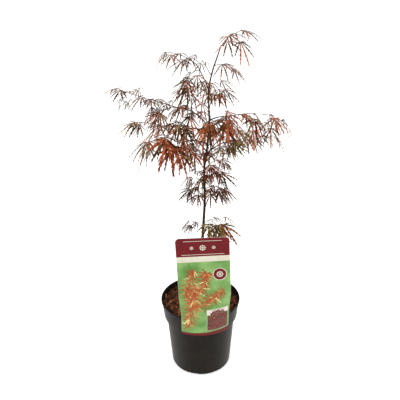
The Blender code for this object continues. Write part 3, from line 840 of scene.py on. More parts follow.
@dataclass
class PlantLabel:
    """A curved card that hooks over the rim, with a plain garden design printed in flat tints."""

    width: float = 117.0
    top: float = 389.0
    foot: float = 133.0
    thickness: float = 0.6
    corner: float = 9.0
    turn: float = math.radians(8.0)
    twist: float = math.radians(-4.7)
    lean_back: float = 7.8
    flattening: float = 95.0
    rim: float = 95.4
    collar_slope: float = 6.5 / 44.5
    pot_height: float = 180.0
    ink_depth: float = 0.08
    tongue: tuple[Triple, ...] = (
        (95.5, 186, 0), (90.6, 182, 1.6), (89.5, 173, 0)
    )  # each corner's radius from the axis, height and rounding
    tongue_width: float = 16.0
    tongue_thickness: float = 0.8
    bleed: float = 0.12  # how far the printing stays inside the card's edge
    grid: int = 40
    header: float = 345.0  # where the header's tint starts
    stripe: float = 331.5  # and the pale stripe under it
    motif_height: float = 365.5
    emblem: Pair = (35.0, 299.0)
    picture_across: Pair = (1.0, 54.0)
    picture_up: Pair = (147.0, 207.0)
    mound: Triple = (27.0, 29.0, 59.0)  # its middle, half its width, its height
    tuft_count: int = 1500
    tuft_size: Pair = (1.1, 2.4)
    prints: list[Surface] = field(default_factory=list)

    def place(self, across: ArrayLike, height: ArrayLike, out: ArrayLike = 0.0) -> Array:
        """Bend flat places on the card into space.

        At the rim and below, the card follows the collar's circle. Above, the circle's curvature
        fades to nothing along a smooth step, while the card leans back and turns about the axis.

        Args:
            across: Distance from the middle line, mm.
            height: Height over the ground, mm.
            out: Distance outwards from the card's back, mm.

        Returns:
            The points, with x, y and z along the last axis.
        """
        places = (np.asarray(value, float) for value in (across, height, out))
        across, height, out = np.broadcast_arrays(*places)
        over = np.maximum(0, height - self.pot_height)
        fade = np.minimum(1, over / self.flattening)
        bend = (1 - fade**2 * (3 - 2 * fade)) / self.rim + 1e-7
        share = over / (self.top - self.pot_height)
        below = np.maximum(0, self.pot_height - height)
        reach = self.rim - below * self.collar_slope - self.lean_back * share
        side = np.sin(bend * across) * (1 / bend + out)
        ahead = reach + (np.cos(bend * across) - 1) / bend + out * np.cos(bend * across)
        turn = self.turn + self.twist * share
        x = ahead * np.sin(turn) + side * np.cos(turn)
        y = -ahead * np.cos(turn) + side * np.sin(turn)
        return np.stack((x, y, height), -1)

    def half_width(self, height: ArrayLike, inset: float = 0.0) -> Array:
        """Find half the card's width, inside its rounded top corners.

        Args:
            height: The heights, mm.
            inset: How far the corners are drawn in, mm.

        Returns:
            Half the width at each height.
        """
        into = np.clip(np.asarray(height, float) - (self.top - self.corner), 0, self.corner - inset)
        radius = self.corner - inset
        return self.width / 2 - self.corner + np.sqrt(np.maximum(radius**2 - into**2, 0))

    def layer(self, across: Array, height: Array, ink: Ink, rank: int) -> None:
        """Print a grid of flat places as a thin raised plate.

        Args:
            across: The places' distances from the middle line, rows by columns.
            height: Their heights.
            ink: The tint.
            rank: The layer's place in the order of printing, from 1.
        """
        front = self.place(across, height, self.thickness + rank * self.ink_depth)
        back = self.place(across, height, self.thickness - self.ink_depth)
        self.prints.append(slab(front, back).toned(ink.number()))

    def sheet(self, rows: Array, inset: float, columns: int) -> tuple[Array, Array]:
        """Lay a grid over the card's whole width.

        Args:
            rows: The heights of its rows, mm.
            inset: How far it stays inside the card's edge, mm.
            columns: The number of its columns.

        Returns:
            Its places across the card, and their heights.
        """
        half = self.half_width(rows, inset) - inset
        across = np.linspace(-1, 1, columns)[None, :] * half[:, None]
        return across, np.broadcast_to(rows[:, None], across.shape)

    def behind(self, low: float, high: float, ink: Ink) -> None:
        """Print a band on the card's back.

        Args:
            low: Its lowest height, mm.
            high: Its highest.
            ink: The tint.
        """
        flat = self.sheet(np.linspace(low, high, self.grid), self.bleed, self.grid)
        band = slab(self.place(*flat, self.ink_depth), self.place(*flat, -self.ink_depth))
        self.prints.append(band.toned(ink.number()))

    def band(self, low: float, high: float, ink: Ink, rank: int, inset: float = 0.12) -> None:
        """Print a band from one height to another, which follows the card's rounded corners."""
        rows = low + (high - low) * np.sin(np.linspace(0, math.pi / 2, 2 * self.grid))
        self.layer(*self.sheet(rows, inset, self.grid), ink, rank)

    def disc(self, center: Pair, radius: float, ink: Ink, rank: int) -> None:
        """Print a disc, from a tiny ring at its middle out to its rim and back behind.

        Args:
            center: Its middle, across and up.
            radius: Its radius, mm.
            ink: The tint.
            rank: Its place in the order of printing.
        """
        angle = around(12 if radius < 5 else 40)[None, :]
        share = np.array((0.02, 0.5, 1.0))[:, None]
        across = center[0] + radius * share * np.cos(angle)
        height = center[1] + radius * share * np.sin(angle)
        outs = (rank * self.ink_depth, -self.ink_depth)
        front, back = (self.place(across, height, self.thickness + out) for out in outs)
        plate = capped(np.concatenate((front, back[::-1])), np.stack((front[0].mean(0), back[0].mean(0))))
        self.prints.append(plate.toned(ink.number()))

    def leaf(self, center: Pair, size: float, turn: float, inks: Array, rank: float) -> None:
        """Print a flat cut leaf, held inside the card.

        Args:
            center: The hub's place, across and up.
            size: The middle lobe's length, mm.
            turn: The way that it points, in degrees from straight across.
            inks: The number of each lobe's tint.
            rank: The leaf's place in the order of printing.
        """
        blade = CutLeaf(len(self.prints) % 8)
        angle = math.radians(turn)
        ahead, aside = size * blade.points[:, 0], 1.2 * size * blade.points[:, 1]
        across = center[0] + ahead * math.cos(angle) - aside * math.sin(angle)
        height = center[1] + ahead * math.sin(angle) + aside * math.cos(angle)
        fits = (np.abs(across) < self.width / 2 - 0.8)[blade.faces].all(1)
        points = self.place(across, height, self.thickness + rank * self.ink_depth)
        self.prints.append(Surface(points, blade.faces[fits], inks[blade.lobe[fits]]))

    def tufts(self, center: Array, size: Array, tones: Array, rank: float) -> None:
        """Print many small six-pointed tufts at once, each a hair above the one before.

        Args:
            center: Their places, across and up, one row each.
            size: Their radii, mm.
            tones: Their tints' numbers.
            rank: The first one's place in the order of printing.
        """
        angle = around(12)[None, :] + center[:, :1]
        reach = size[:, None] * np.tile((1.0, 0.5), 6)[None, :]
        across = np.concatenate((center[:, :1], center[:, :1] + reach * np.cos(angle)), 1)
        height = np.concatenate((center[:, 1:], center[:, 1:] + 0.8 * reach * np.sin(angle)), 1)
        out = self.thickness + self.ink_depth * (rank + 0.01 * np.arange(len(center))[:, None])
        points, star = self.place(across, height, out + 0 * across), fan(0, np.arange(1, 13))
        self.prints.append(copied(points, star, tones))

    def rosette(self, center: Pair, size: float, ink: Ink, rank: int) -> None:
        """Print a ring of eight round petals about a dot.

        Args:
            center: Its middle, across and up.
            size: Its radius, mm.
            ink: The tint.
            rank: Its place in the order of printing.
        """
        for petal in range(8):
            angle = petal * math.tau / 8
            spot = (center[0] + 0.62 * size * math.cos(angle), center[1] + 0.62 * size * math.sin(angle))
            self.disc(spot, 0.2 * size, ink, rank)
        self.disc(center, 0.28 * size, ink, rank)

    def card(self) -> Surface:
        """Cut the plain card with rounded top corners, and the tongue that hooks it on the rim.

        Returns:
            The two of them.
        """
        shoulder = self.top - self.corner
        rise = self.corner * np.sin(np.linspace(0, math.pi / 2, 9))[1:]
        rows = np.concatenate((np.linspace(self.foot, shoulder, 60), shoulder + rise))
        flat = self.sheet(rows, 0.0, 49)
        board = slab(self.place(*flat, self.thickness), self.place(*flat))
        line = rounded(list(self.tongue), 7)
        heading = unit(np.gradient(line, axis=0))
        thick = self.tongue_thickness * np.stack((-heading[:, 1], heading[:, 0]), -1)
        side = np.linspace(-0.5, 0.5, 5)[None, :] * self.tongue_width
        faces = []
        for ahead, height in ((line - thick).T, line.T):
            x = ahead[:, None] * math.sin(self.turn) + side * math.cos(self.turn)
            y = -ahead[:, None] * math.cos(self.turn) + side * math.sin(self.turn)
            faces.append(np.stack((x, y, height[:, None] + 0 * side), -1))
        return joined([board, slab(*faces)])

    def picture(self) -> None:
        """Print the framed garden picture: a pale wall over dusk, and a mounded shrub of many tufts."""
        (left, right), (low, high) = self.picture_across, self.picture_up
        frame_width, sky_depth = 0.8, 14
        for inset, ink, rank, foot in (
            (0.0, Ink.CREAM, 4, low),
            (frame_width, Ink.SHADE, 5, low + frame_width),
            (frame_width, Ink.SKY, 6, high - sky_depth),
        ):
            rows = np.linspace(foot, high - inset, 24)[:, None]
            columns = np.linspace(left + inset, right - inset, 20)[None, :]
            self.layer(columns + 0 * rows, rows + 0 * columns, ink, rank)
        luck = np.random.default_rng(9)
        edge, count = 2.6, self.tuft_count
        sides = ((left + edge, right - edge), (low + edge, high - edge))
        spots = np.stack([luck.uniform(*side, count) for side in sides], -1)
        middle, half, rise = self.mound
        inside = (spots[:, 0] - middle) ** 2 / half**2 + (spots[:, 1] - low) ** 2 / rise**2
        spots = spots[inside + 0.05 * luck.normal(size=len(spots)) < 1]
        spots = spots[np.argsort(-spots[:, 1])]
        tones = dealt_inks(SHRUB_INKS, len(spots), luck)
        self.tufts(spots, luck.uniform(*self.tuft_size, len(spots)), tones, 7)

    def spray(self, stem: tuple[Pair, ...], size: float, seed: int) -> None:
        """Print a sprig: a thin stem along a curve, with cut leaves to both sides of it.

        Args:
            stem: Places that the stem passes through, across and up.
            size: The usual length of a leaf's middle lobe, mm.
            seed: The seed of its variation.
        """
        luck = np.random.default_rng(seed)
        line = smooth_line([(across, height, 0) for across, height in stem], 24)[:, :2]
        side = unit(np.gradient(line, axis=0))[:, ::-1] * (1, -1)
        edge = np.linspace(-0.45, 0.45, 3)[None, :, None]
        ribbon = line[:22, None] + edge * side[:22, None]
        self.layer(ribbon[..., 0], ribbon[..., 1], Ink.SHRUB, 2)
        for number, index in enumerate(range(1, 24, 2)):
            heading = math.degrees(math.atan2(-side[index, 0], side[index, 1]))
            turn = heading + (58 if number % 2 else -58) * (index < 22) + luck.uniform(-18, 18)
            inks = dealt_inks(SPRIG_INKS, LOBES, luck)
            rank = 3 + 0.2 * number + 0.05 * seed
            self.leaf(tuple(line[index]), size * luck.uniform(0.75, 1.1), turn, inks, rank)

    def build(self) -> None:
        """Print the design and make the label."""
        foot = self.foot + 0.1
        self.band(self.header, self.top - 0.15, Ink.BURGUNDY, 1)
        self.band(self.stripe, self.header, Ink.CREAM, 1)
        self.band(foot, self.stripe, Ink.GREEN, 1)
        share, rise = np.linspace(-1, 1, self.grid)[None, :], np.linspace(0, 1, 5)[:, None]
        swell = foot + rise * (9 + 3 * share)
        self.layer(share * (self.width / 2 - self.bleed) + 0 * rise, swell, Ink.BURGUNDY, 2)
        for seed, (stem, size) in enumerate(SPRIGS, 1):
            self.spray(stem, size, seed)
        self.disc(self.emblem, 15.5, Ink.CREAM, 7)
        self.disc(self.emblem, 14, Ink.BURGUNDY, 8)
        self.rosette(self.emblem, 9.5, Ink.CREAM, 9)
        for height, inset in ((349.0, 6.0), (381.0, 8.0)):
            self.band(height, height + 1, Ink.CREAM, 2, inset)
        for across, size in ((-24, 5), (0, 8.5), (24, 5)):
            self.rosette((across, self.motif_height), size, Ink.CREAM, 3)
        self.picture()
        self.behind(self.header, self.top - self.corner, Ink.BURGUNDY)
        for height in (190.0, 326.0):
            self.behind(height, height + 6, Ink.GREEN)
        finishes = [ink.value.material() for ink in Ink]
        label = joined([self.card(), *self.prints])
        label.shown("label", finishes, "label_card", ("plant_label",), sharp=30)


# ---------------------------------------------------------------- limbs


@dataclass(frozen=True)
class Limb:
    """A bough: its parent and place on it, its tip, how far it arches over, and its end radii, mm.

    On the trunk the place is a height; on a bough it is the share of its length.
    """

    parent: str
    place: float
    tip: Triple
    arch: float
    foot_radius: float = 1.5
    tip_radius: float = 0.95


@dataclass(frozen=True)
class Mass:
    """A mass of foliage: where its stem starts and ends, its arch, its pairs of leaves and their look.

    size is the length of a leaf's middle lobe, hang is how far its leaves turn down, from 0 to 1,
    and turn is the angle of the first pair round the stem, in degrees. shoots is how many side shoots
    fill it, and build is the range of leaf variants that it draws on, from the most slender. Its
    tones are dealt out by the shares of its tint, or of deal where that is named.
    """

    parent: str
    place: float
    tip: Triple
    arch: float
    pairs: int
    size: float
    hang: float
    turn: float
    tint: str
    seed: int
    shoots: int = 2
    build: tuple[int, int] = (3, 8)
    deal: str = ""
    first: float = 0.35

    def shares(self) -> tuple[float, ...]:
        """Return the shares in which its tones are dealt out."""
        return TINTS[self.deal or self.tint]


def arched(start: Array, end: Array, lift: float, count: int) -> Array:
    """Draw a line from start to end that is lifted by lift * t * (1 - t), with t from 0 to 1."""
    t = np.linspace(0, 1, count)[:, None]
    return start + (end - start) * t + lift * t * (1 - t) * UP


def scar_rings(gone: Array, spacing: float, height: float, width: float) -> Array:
    """Return the swell of even rings of bud scars: height * exp(-(distance / width) ** 2)."""
    phase = gone / spacing
    return height * np.exp(-(((phase - np.round(phase)) * spacing / width) ** 2))


def skin_grid(angle: Array, gone: Array) -> Array:
    """Return the points (cos a, sin a, place) of a unit cylinder, with a row for each place along it."""
    return np.stack(np.broadcast_arrays(np.cos(angle), np.sin(angle), gone[:, None]), -1)


class Route:
    """A limb's axis as a line of points with a radius at each, mm."""

    def __init__(self, points: ArrayLike, radii: ArrayLike) -> None:
        """Keep the points and radii, and work out the share of the length at each point.

        Args:
            points: The points in order, one row each.
            radii: The radius at each.
        """
        self.points = np.asarray(points, float)
        self.radii = np.asarray(radii, float)
        steps = np.linalg.norm(np.diff(self.points, axis=0), axis=1)
        self.length = float(steps.sum())
        self.shares = np.concatenate(([0.0], np.cumsum(steps))) / self.length

    def point(self, share: float) -> Array:
        """Return the axis's point at a share of the length."""
        return np.array([np.interp(share, self.shares, self.points[:, axis]) for axis in range(3)])

    def at(self, share: float) -> tuple[Array, Array, float]:
        """Return the point, direction and radius at a share of the length."""
        low, high = self.point(max(0.0, share - 0.02)), self.point(min(1.0, share + 0.02))
        return self.point(share), unit(high - low), float(np.interp(share, self.shares, self.radii))

    def share_of(self, place: float) -> float:
        """Return the share of the length at a place, which over 1 is a height."""
        return place if place <= 1 else float(np.interp(place, self.points[:, 2], self.shares))

    def branch(self, item: Limb | Mass, foot: float, tip: float, samples: int) -> "Route":
        """Lead a limb from just clear of this one's skin to its tip.

        Its axis is the straight line to the tip, lifted by arch in the shape of a parabola.

        Args:
            item: The limb.
            foot: Its radius at its foot, mm.
            tip: Its radius at its tip, mm.
            samples: The number of points on its axis.

        Returns:
            The limb's axis.
        """
        share = self.share_of(item.place)
        start, along, radius = self.at(share)
        end = np.asarray(item.tip, float)
        heading = unit(end - start + 4 * item.arch * UP)
        if share == 1.0:
            tilt = math.acos(min(1.0, abs(float(heading @ along))))
            clear = (GAP + foot * math.sin(tilt)) / math.cos(tilt)
        else:
            square = float(np.linalg.norm(np.cross(heading, along)))
            clear = (radius + GAP + foot * abs(float(heading @ along))) / square
        start = start + heading * clear
        points = arched(start, end, 4 * item.arch, samples)
        return Route(points, np.linspace(foot, tip, samples))

    def rooted(self, origin: Array, samples: int) -> Array:
        """Return this axis drawn finely, and led back to a point inside its parent."""
        return smooth_line(np.vstack((origin, self.points)), samples)


GAP = 0.3
TRUNK_FOOT = 170.8
TRUNK_LINE = (
    (1, 0, TRUNK_FOOT), (4, -1, 250), (7, -2, 346), (12, -3, 431), (12, -2, 486), (12, 0, 516), (18, 1, 558),
    (23, 2, 614), (22, 2, 656), (23, 1, 691), (30, -1, 724), (38, -2, 748), (46, -3, 771),
)
FLARE_RADII = ((6, 5.4), (18, 4.9), (34, 5.5), (46, 5.3), (60, 4.0))
TRUNK_RADII = ((0, 6.6), *FLARE_RADII, (170, 3.2), (300, 2.5), (450, 1.9), (560, 1.5), (605, 1.1))
STEM_RADII = (0.85, 0.6)

BOUGHS = {
    "bough_top_left": Limb("trunk", 684, (-4, 20, 735), 4, 1.2, 0.8),
    "bough_left_arch": Limb("trunk", 605, (-30, 15, 642), 8),
    "bough_left_middle": Limb("trunk", 596, (-62, -48, 604), 10),
    "bough_left_front": Limb("trunk", 568, (-37, -78, 598), 6),
    "bough_right_upper": Limb("trunk", 620, (64, 17, 624), 3),
    "bough_right_level": Limb("trunk", 546, (86, 20, 570), 8),
    "bough_right_low": Limb("trunk", 526, (44, -35, 568), 2),
    "bough_back_left": Limb("trunk", 552, (-40, 65, 578), 8),
    "bough_back_right": Limb("trunk", 536, (58, 62, 564), 8),
}

MASSES = {
    "leaves_leader": Mass(
        "trunk", 1.0, (75, -15, 799), 5, 3, 46, 0.24, 65, "rust", 51, 0, (2, 7), "amber", 0.3
    ),
    "leaves_leader_side": Mass(
        "trunk", 735, (52, -12, 738), 1, 1, 44, 0.3, 0, "rust", 12, 1, (0, 4), "bronze"
    ),
    "leaves_leader_left": Mass(
        "trunk", 714, (6, 3, 750), 1, 1, 33, 0.2, 0, "bronze", 13, 0, (0, 3), "shade"
    ),
    "leaves_top_left": Mass(
        "bough_top_left", 1.0, (-52, 34, 755), 4, 3, 46, 0.45, 30, "bronze", 14, 1, (0, 3), "shade", 0.2
    ),
    "leaves_top_left_low": Mass(
        "bough_top_left", 0.7, (-16, -8, 718), 3, 2, 44, 0.6, 0, "bronze", 43, 0, (0, 3), "shade"
    ),
    "leaves_top_middle": Mass(
        "trunk", 672, (-12, -40, 702), 6, 2, 44, 0.5, 15, "bronze", 15, 0, (0, 3), "shade"
    ),
    "leaves_top_dark": Mass(
        "trunk", 646, (-9, -38, 674), 4, 1, 38, 0.3, 35, "burgundy", 46, 0, (0, 4), "shade"
    ),
    "leaves_top_right": Mass("trunk", 696, (46, -32, 699), 5, 2, 42, 0.27, 60, "burgundy", 17, 0, (0, 3)),
    "leaves_top_back": Mass("trunk", 679, (14, 52, 692), 6, 1, 40, 0.5, 40, "bronze", 18, 0, (0, 3)),
    "leaves_left_long": Mass(
        "bough_left_arch", 1.0, (-159, -20, 693), -1, 5, 38, 0.16, 10, "olive", 19, 4, (4, 8), "shade", 0.25
    ),
    "leaves_left_fall": Mass(
        "bough_left_arch", 0.86, (-72, -30, 650), 6, 2, 48, 0.36, 70, "rust", 20, 2, (1, 6), "amber"
    ),
    "leaves_left_under": Mass("bough_left_arch", 0.55, (-32, -24, 636), 3, 1, 42, 0.55, 0, "bronze", 44, 1),
    "leaves_left_middle": Mass(
        "bough_left_middle", 1.0, (-92, -80, 608), 4, 2, 50, 0.42, 35, "rust", 21, 2, (1, 6), "honey"
    ),
    "leaves_left_side": Mass(
        "bough_left_middle", 0.85, (-116, -46, 632), 5, 2, 44, 0.25, 80, "olive", 22, 1
    ),
    "leaves_left_red": Mass(
        "bough_left_front", 1.0, (-54, -108, 618), 4, 2, 52, 0.55, 30, "rust", 23, 3, (3, 8), "ember"
    ),
    "leaves_left_inner": Mass("trunk", 586, (-31, -46, 625), 5, 2, 44, 0.45, 30, "olive", 47, 2, (4, 8)),
    "leaves_centre_low": Mass("trunk", 534, (-14, -36, 572), 4, 2, 40, 0.5, 50, "burgundy", 25, 3),
    "leaves_front": Mass("trunk", 608, (20, -66, 638), 8, 2, 44, 0.6, 10, "rust", 26, 2, (3, 8), "amber"),
    "leaves_right_red": Mass(
        "trunk", 596, (58, -40, 634), 8, 3, 46, 0.42, 70, "rust", 27, 1, (3, 8), "blaze"
    ),
    "leaves_right_upper": Mass(
        "bough_right_upper", 1.0, (156, -28, 637), 5, 5, 49, 0.52, 15, "bronze", 28, 3, (1, 6), "honey", 0.15
    ),
    "leaves_right_level": Mass(
        "bough_right_level", 1.0, (160, 38, 572), 5, 3, 40, 0.4, 40, "olive", 29, 3, (0, 4), "honey", 0.3
    ),
    "leaves_right_inner": Mass("trunk", 559, (56, 26, 593), 5, 2, 42, 0.4, 20, "bronze", 30),
    "leaves_right_low": Mass("bough_right_low", 1.0, (66, -58, 593), 5, 2, 41, 0.2, 25, "olive", 31, 5),
    "leaves_right_dark": Mass(
        "trunk", 511, (38, -28, 543), 3, 1, 34, 0.45, 45, "burgundy", 32, 3, (5, 8), "ember"
    ),
    "leaves_lower_right": Mass(
        "trunk", 484, (35, -22, 508), 3, 1, 39, 0.35, 10, "burgundy", 33, 4, (6, 10), "dusk"
    ),
    "leaves_lower_right_low": Mass(
        "trunk", 448, (44, -24, 472), 4, 2, 38, 0.4, 65, "rust", 34, 7, (6, 10), "dusk"
    ),
    "leaves_lower_left": Mass(
        "trunk", 474, (-10, -13, 499), 3, 1, 33, 0.45, 30, "bronze", 35, 3, (6, 10), "dusk"
    ),
    "leaves_lower_left_low": Mass(
        "trunk", 441, (-9, -22, 472), 4, 1, 36, 0.45, 75, "burgundy", 36, 5, (6, 10), "dusk"
    ),
    "leaves_foot_left": Mass(
        "trunk", 370, (-15, -8, 390), 2, 0, 34, 0.5, 0, "bronze", 37, 5, (6, 10), "dusk"
    ),
    "leaves_foot_right": Mass(
        "trunk", 380, (38, -22, 396), 5, 2, 46, 0.4, 30, "rust", 38, 5, (5, 8), "moss"
    ),
    "leaves_back_left": Mass("bough_back_left", 1.0, (-84, 108, 578), 6, 2, 46, 0.5, 45, "bronze", 39),
    "leaves_back_right": Mass("bough_back_right", 1.0, (98, 104, 566), 6, 2, 46, 0.5, 15, "rust", 40),
    "leaves_back_middle": Mass("trunk", 516, (10, 84, 552), 10, 3, 44, 0.5, 70, "burgundy", 41),
    "leaves_back_high": Mass("trunk", 640, (36, 68, 662), 8, 2, 42, 0.5, 55, "rust", 48, 1),
    "leaves_back_upper": Mass("trunk", 613, (-30, 78, 632), 9, 2, 42, 0.5, 15, "bronze", 49),
    "leaves_back_low": Mass("trunk", 454, (14, 50, 470), 5, 1, 36, 0.5, 20, "bronze", 42),
}


def trunk_route(samples: int) -> Route:
    """Lay out the trunk, with a point at each height where the root flare's radius turns.

    Args:
        samples: The number of points on its curve.

    Returns:
        Its axis.
    """
    points = smooth_line(TRUNK_LINE, samples)
    low = [TRUNK_FOOT + rise for rise, _ in FLARE_RADII]
    heights = np.sort(np.concatenate((points[:, 2], low)))
    points = np.stack([np.interp(heights, points[:, 2], points[:, axis]) for axis in range(3)], axis=1)
    rises, radii = zip(*TRUNK_RADII)
    return Route(points, np.interp(points[:, 2] - TRUNK_FOOT, rises, radii))


@dataclass
class Limbs:
    """The trunk and its boughs in young bark, with a root flare, bud scars and swollen unions."""

    coarse_samples: int = 20
    trunk_rows: int = 420
    trunk_sides: int = 40
    sunk: float = 2.5
    spur_turns: tuple[int, ...] = (20, 95, 170, 235, 310)
    spur_reach: float = 4.6
    spur_fall: float = 4.2
    spur_spread: float = 0.34
    union_swell: Pair = (0.5, 3.5)  # how far it stands out, and half its length
    first_scar: float = 226.0
    scars: Triple = (17.0, 0.28, 0.9)  # spacing, height and width
    # How deep each ripple of the skin is, its scale round and along the limb, its length and its seed.
    ripples: tuple[tuple[float, tuple[float, ...], float, int], ...] = (
        (0.05, (6, 6, 0.4), 5.0, 11), (0.035, (9, 9, 0.15), 3.0, 12)
    )
    bough_sides: int = 14
    bough_rows: int = 70
    bough_swell: Pair = (0.5, 3.0)
    bough_scars: Triple = (13.0, 0.16, 0.8)
    routes: dict[str, Route] = field(default_factory=dict)
    bark: Bark = Bark("young_maple_bark", "#1f1812", "#382c21", "#645545")
    shoots: Bark = Bark("red_brown_shoot_bark", "#33201a", "#4f3025", "#80624d", 0.7, 3.6, 0.6)

    def __post_init__(self) -> None:
        """Lay out the trunk's and boughs' axes by the rule of the solids."""
        self.routes["trunk"] = trunk_route(self.coarse_samples)
        for name, limb in BOUGHS.items():
            self.routes[name] = self.routes[limb.parent].branch(limb, limb.foot_radius, limb.tip_radius, 6)

    def root(self, item: Limb | Mass, inside: float = 0.0) -> Array:
        """Return the point on the parent's axis from which a limb grows."""
        parent = self.routes[item.parent]
        return parent.point(min(parent.share_of(item.place), 1.0 - inside))

    def trunk(self) -> Surface:
        """Skin the trunk.

        Its radius is the axis's, plus ripples, rings of bud scars, a swelling at each bough
        and, at the foot, spurs that fall off with height and with the angle from each spur.

        Returns:
            The trunk.
        """
        axis = trunk_route(self.trunk_rows)
        line, radius = axis.points.copy(), axis.radii.copy()
        height = line[:, 2]
        for _ in range(12):
            radius[1:-1] = (radius[:-2] + 2 * radius[1:-1] + radius[2:]) / 4
        swell, length = self.union_swell
        for limb in BOUGHS.values():
            radius = radius + swell * np.exp(-(((height - limb.place + 2) / length) ** 2))
        radius = radius + scar_rings(height - self.first_scar, *self.scars) * (height > self.first_scar)
        line[0, 2] -= self.sunk
        angle = around(self.trunk_sides)
        rise = height - TRUNK_FOOT
        off = [(angle - math.radians(turn) + math.pi) % math.tau - math.pi for turn in self.spur_turns]
        spurs = sum(np.exp(-((turn / self.spur_spread) ** 2)) for turn in off)
        grid = skin_grid(angle, rise)
        uneven = sum(depth * ripple(grid * scale, size, seed) for depth, scale, size, seed in self.ripples)
        flare = self.spur_reach * np.exp(-np.maximum(rise, 0) / self.spur_fall)[:, None] * spurs
        sizes = radius[:, None] * (1 + uneven) + flare
        spokes = np.stack((np.cos(angle), np.sin(angle), 0 * angle), -1)
        return capped(line[:, None] + sizes[..., None] * spokes, line[[0, -1]])

    def bough(self, name: str, limb: Limb) -> Surface:
        """Skin a bough, whose radius swells at its foot by exp(-distance / length) and ripples by 6%.

        Args:
            name: Its name, whose length seeds the ripple.
            limb: Its sizes.

        Returns:
            The bough.
        """
        line = self.routes[name].rooted(self.root(limb), self.bough_rows)
        gone = np.concatenate(([0], np.cumsum(np.linalg.norm(np.diff(line, axis=0), axis=1))))
        swell, length = self.bough_swell
        radius = np.interp(gone / gone[-1], (0, 1), (limb.foot_radius, limb.tip_radius))
        radius = radius + swell * np.exp(-gone / length) + scar_rings(gone, *self.bough_scars)
        angle = around(self.bough_sides)
        uneven = 0.06 * ripple(skin_grid(angle, gone) * (5, 5, 0.5), 4.0, len(name))
        return tube(line, radius[:, None] * (1 + uneven), self.bough_sides)

    def build(self) -> None:
        """Make the trunk and the boughs."""
        self.trunk().shown("trunk_in_bark", [self.bark.material()], "bark", ("trunk",), sharp=60)
        boughs = joined([self.bough(name, limb) for name, limb in BOUGHS.items()])
        boughs.shown("boughs_in_bark", [self.shoots.material()], "bark", tuple(BOUGHS), sharp=60)


# ---------------------------------------------------------------- foliage


FAN_STEP = math.radians(31.0)
LOBE_LENGTHS = np.array((0.42, 0.74, 0.92, 1.0, 0.92, 0.74, 0.42))  # of the middle lobe, across the leaf
LOBES = len(LOBE_LENGTHS)


def outward(along: Array, turn: float) -> Array:
    """Return the direction square to a stem, turned about it by degrees from level."""
    level, angle = unit(np.cross(UP, along)), math.radians(turn)
    return math.cos(angle) * level + math.sin(angle) * np.cross(along, level)


def search_tree(points: Array, faces: list[tuple[int, ...]]) -> BVHTree:
    """Return a tree that finds crossings and near places, from points in mm and faces on them."""
    return BVHTree.FromPolygons(points.tolist(), faces, all_triangles=False, epsilon=0.0)


@dataclass(frozen=True)
class Seat:
    """A leaf's place: its stalk's root, its hub, the ways that it points and faces, and its size."""

    root: Array
    hub: Array
    forward: Array
    normal: Array
    size: float

    def axes(self) -> Array:
        """Return the rows that turn (ahead, aside, proud, fall) into space; fall is straight down."""
        return np.stack((self.forward, np.cross(self.normal, self.forward), self.normal, -UP))

    def tips(self) -> Array:
        """Find the ends of the lobes.

        Returns:
            The points, one row each.
        """
        angle = (np.arange(LOBES) - LOBES // 2) * FAN_STEP
        reach = LOBE_LENGTHS * 0.93
        spots = np.stack((reach * np.cos(angle), reach * np.sin(angle), 0 * angle, 0.32 * LOBE_LENGTHS), -1)
        return self.hub + self.size * spots @ self.axes()


@dataclass(frozen=True)
class Habit:
    """How leaves sit on a stem, by the rule of the solids."""

    last_pair_at: float = 0.93
    only_pair_at: float = 0.55
    last_leaf_at: float = 0.95
    pair_turn: float = 90
    turn_play: float = 25
    retry_turn: float = 12
    tries: int = 20
    clearance: float = 0.5
    ahead: float = 0.45
    down: float = 0.85
    last_lean: float = 0.15
    lean_play: Pair = (0.75, 1.1)
    size_play: Pair = (0.85, 1.1)
    last_size: float = 1.08
    stalk: float = 0.42
    stalk_play: Pair = (0.7, 1.1)
    stalk_sag: float = 0.3
    hang_play: Pair = (0.75, 1.2)
    tilt_play: float = 0.5
    highest_stalk: float = 0.4
    highest_blade: float = -0.12

    def places(self, mass: Mass) -> Iterator[tuple[float, float, bool]]:
        """Go through the places of a mass's leaves.

        Args:
            mass: The mass.

        Yields:
            The share along the stem, the turn round it in degrees, and whether the leaf is the last.
        """
        spacing = (self.last_pair_at - mass.first) / max(1, mass.pairs - 1)
        for pair in range(mass.pairs):
            share = mass.first + spacing * pair if mass.pairs > 1 else self.only_pair_at
            for side in (0, 180):
                yield share, mass.turn + self.pair_turn * pair + side, False
        yield self.last_leaf_at, mass.turn, True

    def seat(
        self, mass: Mass, route: Route, share: float, turn: float, last: bool, luck: random.Random
    ) -> Seat:
        """Return a leaf's seat with a seeded variation.

        Args:
            mass: The mass, for its leaves' size and hang.
            route: The stem.
            share: How far along the stem the leaf sits.
            turn: Its angle round the stem, in degrees.
            last: Whether it ends the stem.
            luck: The mass's own source of chance.

        Returns:
            The seat.
        """
        root, along, _ = route.at(share)
        out = outward(along, turn + luck.uniform(-self.turn_play, self.turn_play))
        rise = max(0.0, float(out @ UP))
        out = unit(out + rise * (self.ahead * along - self.down * UP))
        lean = self.last_lean if last else luck.uniform(*self.lean_play)
        heading = math.cos(lean) * along + math.sin(lean) * out
        heading[2] = min(heading[2], self.highest_stalk)
        heading = unit(heading)
        size = mass.size * luck.uniform(*self.size_play) * (self.last_size if last else 1.0)
        stalk = self.stalk * size * luck.uniform(*self.stalk_play)
        hub = root + stalk * unit(heading - self.stalk_sag * mass.hang * UP)
        hang = mass.hang * luck.uniform(*self.hang_play)
        forward = (1 - hang) * heading - hang * UP
        forward[2] = min(forward[2], self.highest_blade)
        forward = unit(forward)
        normal = unit(UP - (UP @ forward) * forward)
        normal = unit(normal + luck.uniform(-self.tilt_play, self.tilt_play) * np.cross(forward, normal))
        return Seat(root, hub, forward, normal, size)


